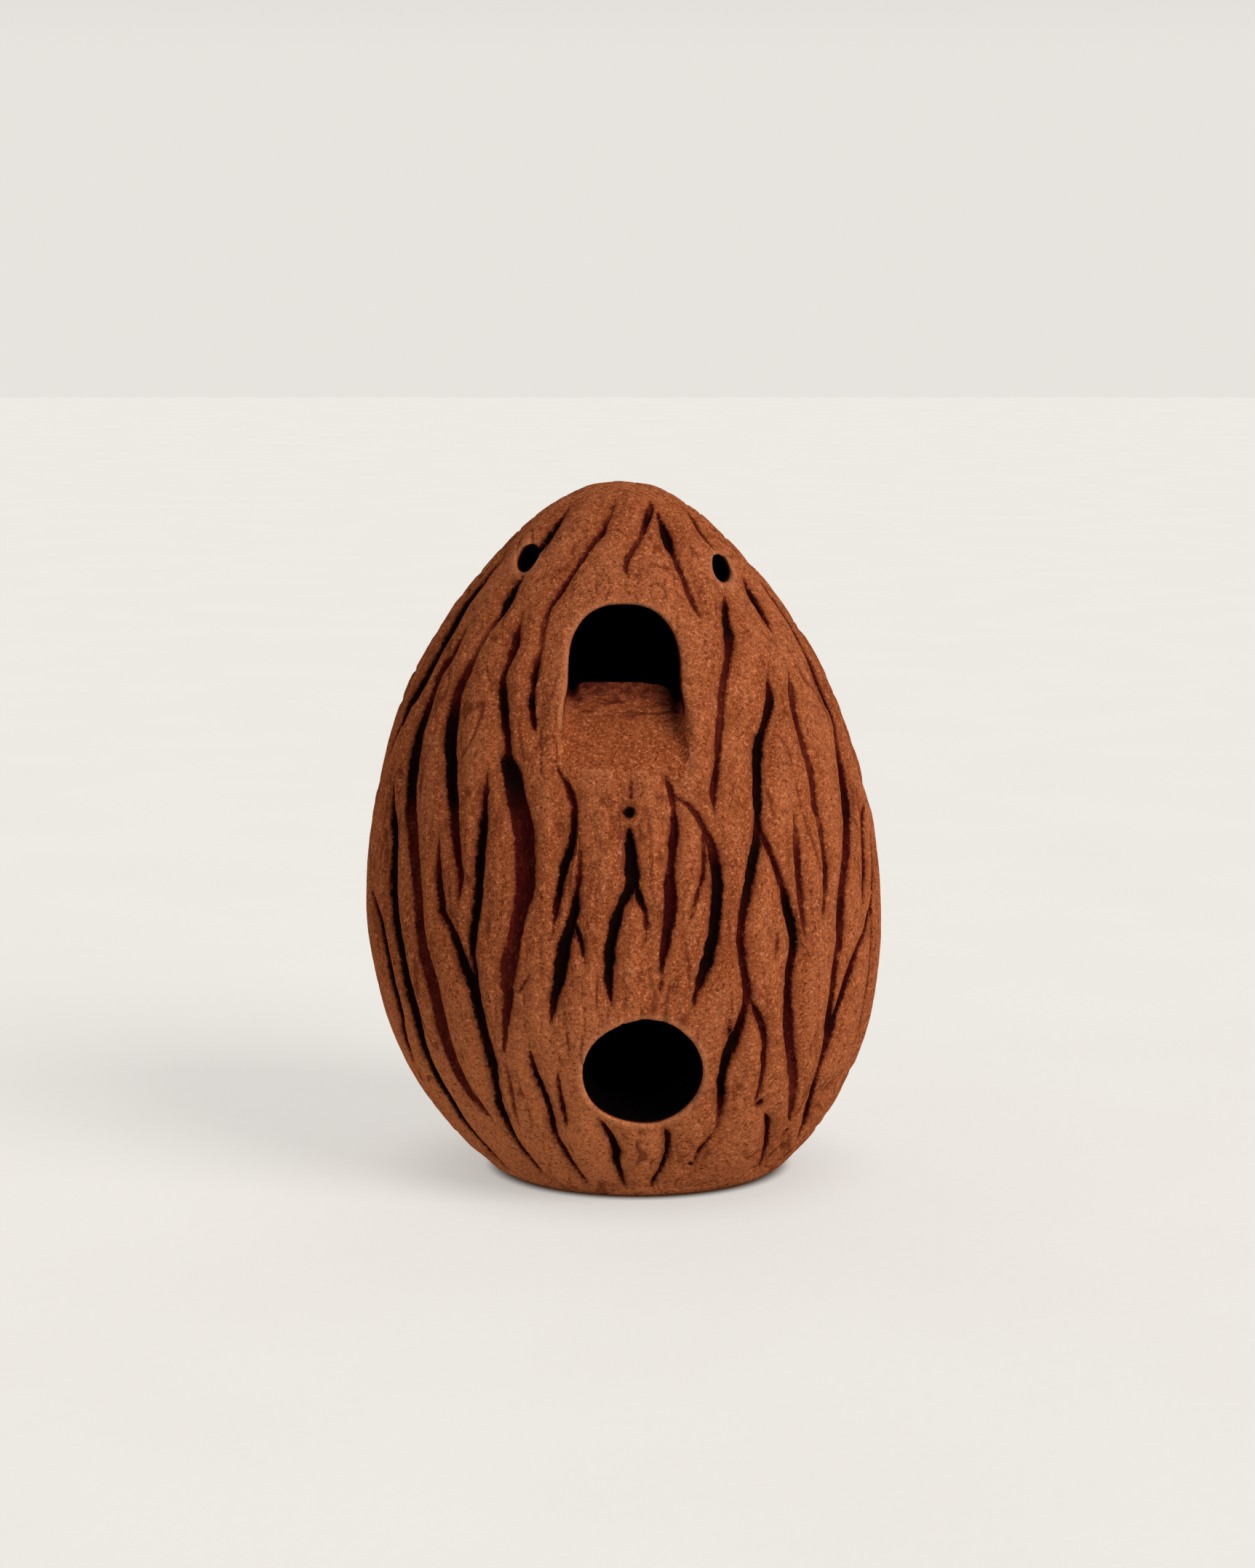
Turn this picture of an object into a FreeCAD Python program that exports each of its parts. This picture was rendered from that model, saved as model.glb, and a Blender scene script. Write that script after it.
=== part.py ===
import FreeCAD, Part
import math
import os

# Clay vessel flute (ocarina), egg shaped, narrow end up, standing on a small flat foot.
# Millimetres, +Z up, origin at the middle of the foot plane under the widest ring.
# -Y is the voicing side with the window and the thumb hole, +Y is the side with the finger holes.

# ---------------------------------------------------------------- driving dimensions
HEIGHT = 67.2                 # foot plane to crown
WALL = 5.0                    # clay wall of the shells
CHAMBER_FLOOR = 4.5           # top of the foot disc
CHAMBER_CEILING = 56.0        # underside of the solid crown
FOOT_R = 13.3                 # flat that rests on the table
FOOT_RIM_R = 13.95            # foot edge above its small bevel
FOOT_BEVEL = 0.35

# outer profile, (radius, height), crown to foot rim
PROFILE = [(0.0, 67.200), (4.367, 66.308), (8.178, 63.957), (11.386, 60.825), (14.291, 57.401),
           (16.982, 53.814), (19.301, 49.965), (21.162, 45.886), (22.645, 41.645), (23.806, 37.308),
           (24.629, 32.907), (25.069, 28.433), (25.070, 23.951), (24.589, 19.499), (23.582, 15.118),
           (22.024, 10.913), (19.893, 6.965), (17.191, 3.395), (FOOT_RIM_R, FOOT_BEVEL)]
PROFILE_END_DIR = (-0.785, -0.620)   # slope of the wall where it meets the foot rim

# the hand-formed body leans a little: sideways shift of its centre at height z (cubic)
LEAN = (1.378, -7.65e-2, 1.037e-3, -4.775e-6)

# sound window, an arch with its sill at the labium
WINDOW_X = 0.08
WINDOW_HALF_W = 5.5
WINDOW_MID_Z = 50.5
WINDOW_RISE = 6.1
WINDOW_DEPTH_Y = -6.0         # how far back the window is cut

# labium edge and ramp
LABIUM = (0.0, -13.75, 49.45) # middle of the edge
LABIUM_HALF_W = 4.35
RAMP_FROM_UPRIGHT = 51.0      # degrees
RAMP_FOOT_Z = 41.5            # underside of the ramp tongue
RAMP_BACK_Y = -17.4           # back of the tongue at its underside
TRENCH_LEFT_Z = 47.6          # bottom of the cut beside the ramp
TRENCH_RIGHT_Z = 44.6

# the front half is built up in three: the bowl below, and a cheek each side of the window above it
CHEEK_Z = 43.9

# windway, a flat slot from the crown to the window, aimed at the labium edge
WINDWAY_FROM_UPRIGHT = 41.5   # degrees
WINDWAY_W = 8.5
WINDWAY_H = 1.4
WINDWAY_END = 7.0             # distance of its lower end from the labium edge
ROOF_HALF_W = 5.4             # half width of the slab that closes the windway

# thumb hole, square to the wall
THUMB_D = 11.1
THUMB_POS = (1.79, -23.11, 13.83)
THUMB_AZ = 3.2                # degrees from -Y towards +X
THUMB_TILT = -18.5            # degrees, below level

# finger holes: (diameter, height, azimuth from +Y towards +X, tilt of the axis)
FINGER_HOLES = [(6.4, 40.0, -21.0, 18.0), (7.6, 39.0, 21.0, 17.0), (8.2, 25.0, -21.0, -2.0), (8.8, 24.0, 21.0, -3.0)]

# cord way through the solid crown: each bore runs from its mouth to one end of a cross channel
# behind the windway, so a cord goes in at one mouth and comes out at the other
CORD_RADIUS_LEFT = 1.35
CORD_RADIUS_RIGHT = 1.2
LANYARD_L = ((-9.28, -7.85, 60.37), (-6.30, 0.60, 60.20))
LANYARD_R_PTS = ((9.31, -8.01, 59.36), (6.45, 0.60, 60.00))
CROSS_R = 1.9
CROSS_END = 0.9               # how far the cross channel runs past each bore

# strips of clay that reinforce the joints inside
COIL_T = 1.5
SEAM_COIL_HALF_W = 2.2
BASE_COIL_H = 3.4

V = FreeCAD.Vector


def lean(z):
    return LEAN[0] + LEAN[1] * z + LEAN[2] * z * z + LEAN[3] * z * z * z


def box(x0, x1, y0, y1, z0, z1):
    return Part.makeBox(x1 - x0, y1 - y0, z1 - z0, V(x0, y0, z0))


def rod(p, q, r, before=0.0, after=0.0):
    """A round bar from p to q, with extra length at each end."""
    p, q = V(*p), V(*q)
    d = q - p
    n = V(d).normalize()
    return Part.makeCylinder(r, d.Length + before + after, p - n * before, n)


def profile_curve(points, start_dir, end_dir):
    c = Part.BSplineCurve()
    c.interpolate(Points=[V(r, 0, z) for r, z in points], InitialTangent=V(start_dir[0], 0, start_dir[1]),
                  FinalTangent=V(end_dir[0], 0, end_dir[1]))
    return c


def leaning_egg():
    """The outer body: every level ring is a true circle, and its centre follows lean(z)."""
    c = profile_curve(PROFILE, (1, 0), PROFILE_END_DIR)
    poles, mults, knots = c.getPoles(), c.getMultiplicities(), c.getKnots()
    s = math.sqrt(0.5)
    ring = [(1, 0, 1), (1, 1, s), (0, 1, 1), (-1, 1, s), (-1, 0, 1), (-1, -1, s), (0, -1, 1), (1, -1, s), (1, 0, 1)]
    grid, weights = [], []
    for ux, uy, w in ring:
        row = []
        for p in poles:
            row.append(V(p.x * ux + lean(p.z), p.x * uy, p.z))
        grid.append(row)
        weights.append([w] * len(poles))
    surf = Part.BSplineSurface()
    surf.buildFromPolesMultsKnots(grid, [3, 2, 2, 2, 3], mults, [0.0, 0.25, 0.5, 0.75, 1.0], knots,
                                  False, False, 2, c.Degree, weights)
    side = surf.toShape()
    rim = min((e for e in side.Edges if e.Length > 1), key=lambda e: e.BoundBox.ZMax)
    ring = Part.Circle(V(lean(FOOT_BEVEL), 0, 0), V(0, 0, 1), FOOT_R).toShape()
    bevel = Part.makeRuledSurface(rim, ring)
    foot = Part.Face(Part.Wire([ring]))
    shell = Part.Shell([side, bevel, foot])
    shell.sewShape()
    shell = shell.Shells[0]
    solid = Part.Solid(shell)
    if not shell.isClosed():
        raise ValueError("the body is open")
    if solid.Volume < 0:
        solid.reverse()
    return solid


def chamber_solid(inset):
    """The inside of the shells at this distance from the outer wall, between floor and ceiling."""
    c = profile_curve(PROFILE, (1, 0), PROFILE_END_DIR)
    a, b = c.FirstParameter, c.LastParameter
    pts = []
    for i in range(201):
        u = a + (b - a) * i / 200.0
        p, t = c.value(u), c.tangent(u)[0]
        n = V(-t.z, 0, t.x)
        if n.x < 0:
            n = n * -1
        q = p - n * inset
        pts.append((q.x, q.z))

    def at(z):
        for (r0, z0), (r1, z1) in zip(pts, pts[1:]):
            if z1 <= z <= z0:
                return r0 + (r1 - r0) * (z0 - z) / (z0 - z1)
        raise ValueError(z)

    lo, hi = CHAMBER_FLOOR, CHAMBER_CEILING
    zs = [hi - (hi - lo) * i / 16.0 for i in range(17)]
    wall = Part.BSplineCurve()
    wall.interpolate([V(at(z), 0, z) for z in zs])
    edges = [wall.toShape(), Part.LineSegment(V(at(lo), 0, lo), V(0, 0, lo)).toShape(),
             Part.LineSegment(V(0, 0, lo), V(0, 0, hi)).toShape(), Part.LineSegment(V(0, 0, hi), V(at(hi), 0, hi)).toShape()]
    f = Part.Face(Part.Wire(Part.__sortEdges__(edges)))
    s = f.revolve(V(0, 0, 0), V(0, 0, 1), 360)
    s = Part.Solid(s) if s.ShapeType != "Solid" else s
    if s.Volume < 0:
        s.reverse()
    return s


def slab(n, offset, size=80.0):
    """Half space as a big block: every point p with (p - LABIUM) . n > offset."""
    b = Part.makeBox(size * 2, size * 2, size * 2, V(-size, -size, 0))
    rot = FreeCAD.Rotation(V(0, 0, 1), V(*n))
    b.Placement = FreeCAD.Placement(V(*LABIUM) + V(*n) * offset, rot)
    return b


def one(shape, name):
    """The single solid of a boolean result."""
    s = sorted(shape.Solids, key=lambda q: -q.Volume)
    if not s:
        raise ValueError(name + ": no solid")
    if len(s) > 1:
        print(name, "drops slivers", [round(q.Volume, 3) for q in s[1:]])
    return s[0]


def main():
    egg = leaning_egg()
    chamber = chamber_solid(WALL)

    a = math.radians(WINDWAY_FROM_UPRIGHT)
    blow = V(0, -math.sin(a), -math.cos(a))         # direction of the air in the windway
    wn = V(0, -math.cos(a), math.sin(a))            # square to the windway, outwards
    tip = V(*LABIUM)

    # windway slot, along -blow from its lower end to beyond the crown
    slot = Part.makeBox(WINDWAY_W, WINDWAY_H, 40.0, V(-WINDWAY_W / 2, -WINDWAY_H / 2, 0))
    slot.Placement = FreeCAD.Placement(tip - blow * WINDWAY_END, FreeCAD.Rotation(V(1, 0, 0), -WINDWAY_FROM_UPRIGHT))

    # window: half an ellipse on top of a straight-sided part, cut level through the wall
    arch = Part.Ellipse(V(WINDOW_X, 0, WINDOW_MID_Z), WINDOW_RISE, WINDOW_HALF_W)
    arch = Part.Ellipse(V(WINDOW_X, -40, WINDOW_MID_Z + WINDOW_RISE), V(WINDOW_X + WINDOW_HALF_W, -40, WINDOW_MID_Z), V(WINDOW_X, -40, WINDOW_MID_Z))
    disc = Part.Face(Part.Wire([arch.toShape()]))
    oval = disc.extrude(V(0, 40 + WINDOW_DEPTH_Y, 0))
    oval = oval.common(box(-10, 10, -45, 0, WINDOW_MID_Z, 60))
    r = math.radians(RAMP_FROM_UPRIGHT)
    ramp_dir = V(0, -math.sin(r), -math.cos(r))
    far = tip + ramp_dir * 16.0
    lower = Part.Face(Part.makePolygon([V(0, WINDOW_DEPTH_Y, WINDOW_MID_Z), V(0, far.y, WINDOW_MID_Z), V(0, far.y, far.z),
                                        V(0, tip.y, tip.z), V(0, WINDOW_DEPTH_Y, tip.z), V(0, WINDOW_DEPTH_Y, WINDOW_MID_Z)]))
    sill = lower.extrude(V(2 * WINDOW_HALF_W, 0, 0))
    sill.translate(V(WINDOW_X - WINDOW_HALF_W, 0, 0))
    left = box(WINDOW_X - WINDOW_HALF_W, -LABIUM_HALF_W, -30, WINDOW_DEPTH_Y, TRENCH_LEFT_Z, WINDOW_MID_Z)
    right = box(LABIUM_HALF_W, WINDOW_X + WINDOW_HALF_W, -30, WINDOW_DEPTH_Y, TRENCH_RIGHT_Z, WINDOW_MID_Z)
    window = oval.fuse([sill, left, right])

    # ramp tongue
    prism = Part.Face(Part.makePolygon([tip, far, V(0, far.y, RAMP_FOOT_Z - 1.5), V(0, far.y, RAMP_FOOT_Z), V(0, RAMP_BACK_Y, RAMP_FOOT_Z), tip])) if far.z > RAMP_FOOT_Z else \
        Part.Face(Part.makePolygon([tip, tip + ramp_dir * ((tip.z - RAMP_FOOT_Z) / -ramp_dir.z), V(0, RAMP_BACK_Y, RAMP_FOOT_Z), tip]))
    prism = prism.extrude(V(2 * LABIUM_HALF_W, 0, 0))
    prism.translate(V(-LABIUM_HALF_W, 0, 0))

    # thumb hole
    az, tl = math.radians(THUMB_AZ), math.radians(THUMB_TILT)
    tn = V(math.sin(az) * math.cos(tl), -math.cos(az) * math.cos(tl), math.sin(tl))
    thumb = Part.makeCylinder(THUMB_D / 2, 14, V(*THUMB_POS) + tn * 5, tn * -1)

    # finger holes
    fingers = []
    for d, z, azi, tilt in FINGER_HOLES:
        q, e = math.radians(azi), math.radians(tilt)
        n = V(math.sin(q) * math.cos(e), math.cos(q) * math.cos(e), math.sin(e))
        rad = radius_at(z)
        p = V(lean(z) + rad * math.sin(q), rad * math.cos(q), z)
        fingers.append(Part.makeCylinder(d / 2, 13, p + n * 4, n * -1))

    # cord way
    tunnels = [rod(LANYARD_L[0], LANYARD_L[1], CORD_RADIUS_LEFT, 6, 0.0),
               rod(LANYARD_R_PTS[0], LANYARD_R_PTS[1], CORD_RADIUS_RIGHT, 6, 0.0)]
    tunnels.append(rod(LANYARD_L[1], LANYARD_R_PTS[1], CROSS_R, CROSS_END, CROSS_END))

    body = egg.common(box(-40, 40, -40, 40, CHAMBER_FLOOR, CHAMBER_CEILING))
    front = body.common(box(-40, 40, -40, 0, 0, 70)).cut(chamber)
    back = body.common(box(-40, 40, 0, 40, 0, 70)).cut(chamber)
    front = front.cut(window).cut(prism).cut(thumb)
    cheek_l = front.common(box(-40, 0, -40, 0, CHEEK_Z, CHAMBER_CEILING))
    cheek_r = front.common(box(0, 40, -40, 0, CHEEK_Z, CHAMBER_CEILING))
    front = front.common(box(-40, 40, -40, 0, 0, CHEEK_Z))
    for f in fingers:
        back = back.cut(f)

    crown = egg.common(box(-40, 40, -40, 40, CHAMBER_CEILING, 80))
    roof_zone = slab(wn, WINDWAY_H / 2).common(box(-ROOF_HALF_W, ROOF_HALF_W, -40, 40, CHAMBER_CEILING, 80))
    roof = crown.common(roof_zone).cut(window).cut(slot)
    block = crown.cut(roof_zone).cut(slot).cut(window)
    for t in tunnels:
        block = block.cut(t)
        roof = roof.cut(t)

    ramp = prism.common(egg)

    base = egg.common(box(-40, 40, -40, 40, -5, CHAMBER_FLOOR))

    # joint strips inside the chamber, pressed against its wall
    inner = chamber_solid(WALL + COIL_T)
    liner = chamber.cut(inner)
    foot_ring = liner.common(box(-40, 40, -40, 40, CHAMBER_FLOOR, CHAMBER_FLOOR + BASE_COIL_H))
    seam = liner.common(box(-40, 40, -SEAM_COIL_HALF_W, SEAM_COIL_HALF_W, CHAMBER_FLOOR + BASE_COIL_H, CHAMBER_CEILING))

    parts = {"base_disc": [one(base, "base_disc")], "front_shell": [one(front, "front_shell")],
             "window_cheek_left": [one(cheek_l, "window_cheek_left")],
             "window_cheek_right": [one(cheek_r, "window_cheek_right")],
             "back_shell": [one(back, "back_shell")], "mouthpiece_block": [one(block, "mouthpiece_block")],
             "windway_roof": [one(roof, "windway_roof")], "labium_ramp": [one(ramp, "labium_ramp")],
             "base_coil": [one(foot_ring, "base_coil")], "seam_coil": list(seam.Solids)}
    os.makedirs("parts", exist_ok=True)
    total = None
    for name, solids in parts.items():
        shape = solids[0] if len(solids) == 1 else Part.makeCompound(solids)
        b = shape.optimalBoundingBox(True, False)
        print("%-17s solids %d valid %s volume %9.1f  x %.2f %.2f y %.2f %.2f z %.2f %.2f" % (
            name, len(solids), shape.isValid(), shape.Volume, b.XMin, b.XMax, b.YMin, b.YMax, b.ZMin, b.ZMax))
        shape.exportStep("parts/%s.step" % name)
        total = b if total is None else total.united(b)
    print("whole", total)


def radius_at(z):
    for (r0, z0), (r1, z1) in zip(PROFILE, PROFILE[1:]):
        if z1 <= z <= z0:
            return r0 + (r1 - r0) * (z0 - z) / (z0 - z1)
    raise ValueError(z)


main()
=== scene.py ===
import math
import time
import bpy
import numpy as np
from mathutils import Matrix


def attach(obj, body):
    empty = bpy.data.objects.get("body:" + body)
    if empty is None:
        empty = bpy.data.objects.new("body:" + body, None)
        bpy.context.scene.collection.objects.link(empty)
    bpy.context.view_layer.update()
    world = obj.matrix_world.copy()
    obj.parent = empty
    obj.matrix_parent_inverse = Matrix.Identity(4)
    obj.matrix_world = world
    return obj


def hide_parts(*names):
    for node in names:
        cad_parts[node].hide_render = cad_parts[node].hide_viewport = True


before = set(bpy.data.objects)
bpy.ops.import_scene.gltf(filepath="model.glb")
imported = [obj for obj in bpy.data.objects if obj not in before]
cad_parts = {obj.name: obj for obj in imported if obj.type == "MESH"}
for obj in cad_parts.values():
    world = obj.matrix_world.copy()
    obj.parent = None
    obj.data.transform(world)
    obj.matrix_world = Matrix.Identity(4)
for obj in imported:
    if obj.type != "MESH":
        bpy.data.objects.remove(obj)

import openvdb
from mathutils import Vector, Matrix

T0 = time.time()
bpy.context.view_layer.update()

# =====================================================================================
# Camera: a long lens a little above the middle of the flute, looking at its voicing side
# =====================================================================================
cam_data = bpy.data.cameras.new("camera")
cam_data.sensor_fit = "AUTO"
cam_data.sensor_width = 36.0
cam_data.lens = 82.23
cam_data.clip_start = 0.01
cam_data.clip_end = 30.0
cam = bpy.data.objects.new("camera", cam_data)
bpy.context.scene.collection.objects.link(cam)
cam.location = (0.00033, -0.34569, 0.08705)
cam.rotation_euler = (math.radians(90.0 - 8.116), 0.0, 0.0)
bpy.context.scene.camera = cam

# =====================================================================================
# Shape of the clay body, in millimetres, in the row frame
# =====================================================================================
PROFILE = [(0.0, 67.200), (4.367, 66.308), (8.178, 63.957), (11.386, 60.825), (14.291, 57.401),
           (16.982, 53.814), (19.301, 49.965), (21.162, 45.886), (22.645, 41.645), (23.806, 37.308),
           (24.629, 32.907), (25.069, 28.433), (25.070, 23.951), (24.589, 19.499), (23.582, 15.118),
           (22.024, 10.913), (19.893, 6.965), (17.191, 3.395), (13.95, 0.35)]
PROFILE_END_DIR = (-0.785, -0.620)
FOOT_R = 13.3
LEAN = (1.378, -7.65e-2, 1.037e-3, -4.775e-6)
WALL = 5.0
FLOOR_Z, CEIL_Z = 4.5, 56.0
TIP = np.array([0.0, -13.75, 49.45])          # middle of the labium edge
RAMP_DEG = 51.0
WINDWAY_DEG = 41.5
THUMB_P = np.array([1.79, -23.11, 13.83])
THUMB_AZ, THUMB_TILT, THUMB_R = 3.2, -18.5, 5.55
FINGERS = [(6.4, 40.0, -21.0, 18.0), (7.6, 39.0, 21.0, 17.0), (8.2, 25.0, -21.0, -2.0), (8.8, 24.0, 21.0, -3.0)]
CORD_L = ((-9.28, -7.85, 60.37), (-6.30, 0.60, 60.20))
CORD_R = ((9.31, -8.01, 59.36), (6.45, 0.60, 60.00))
CORD_LR, CORD_RR = 1.24, 1.12
VOXEL = 0.265

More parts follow.
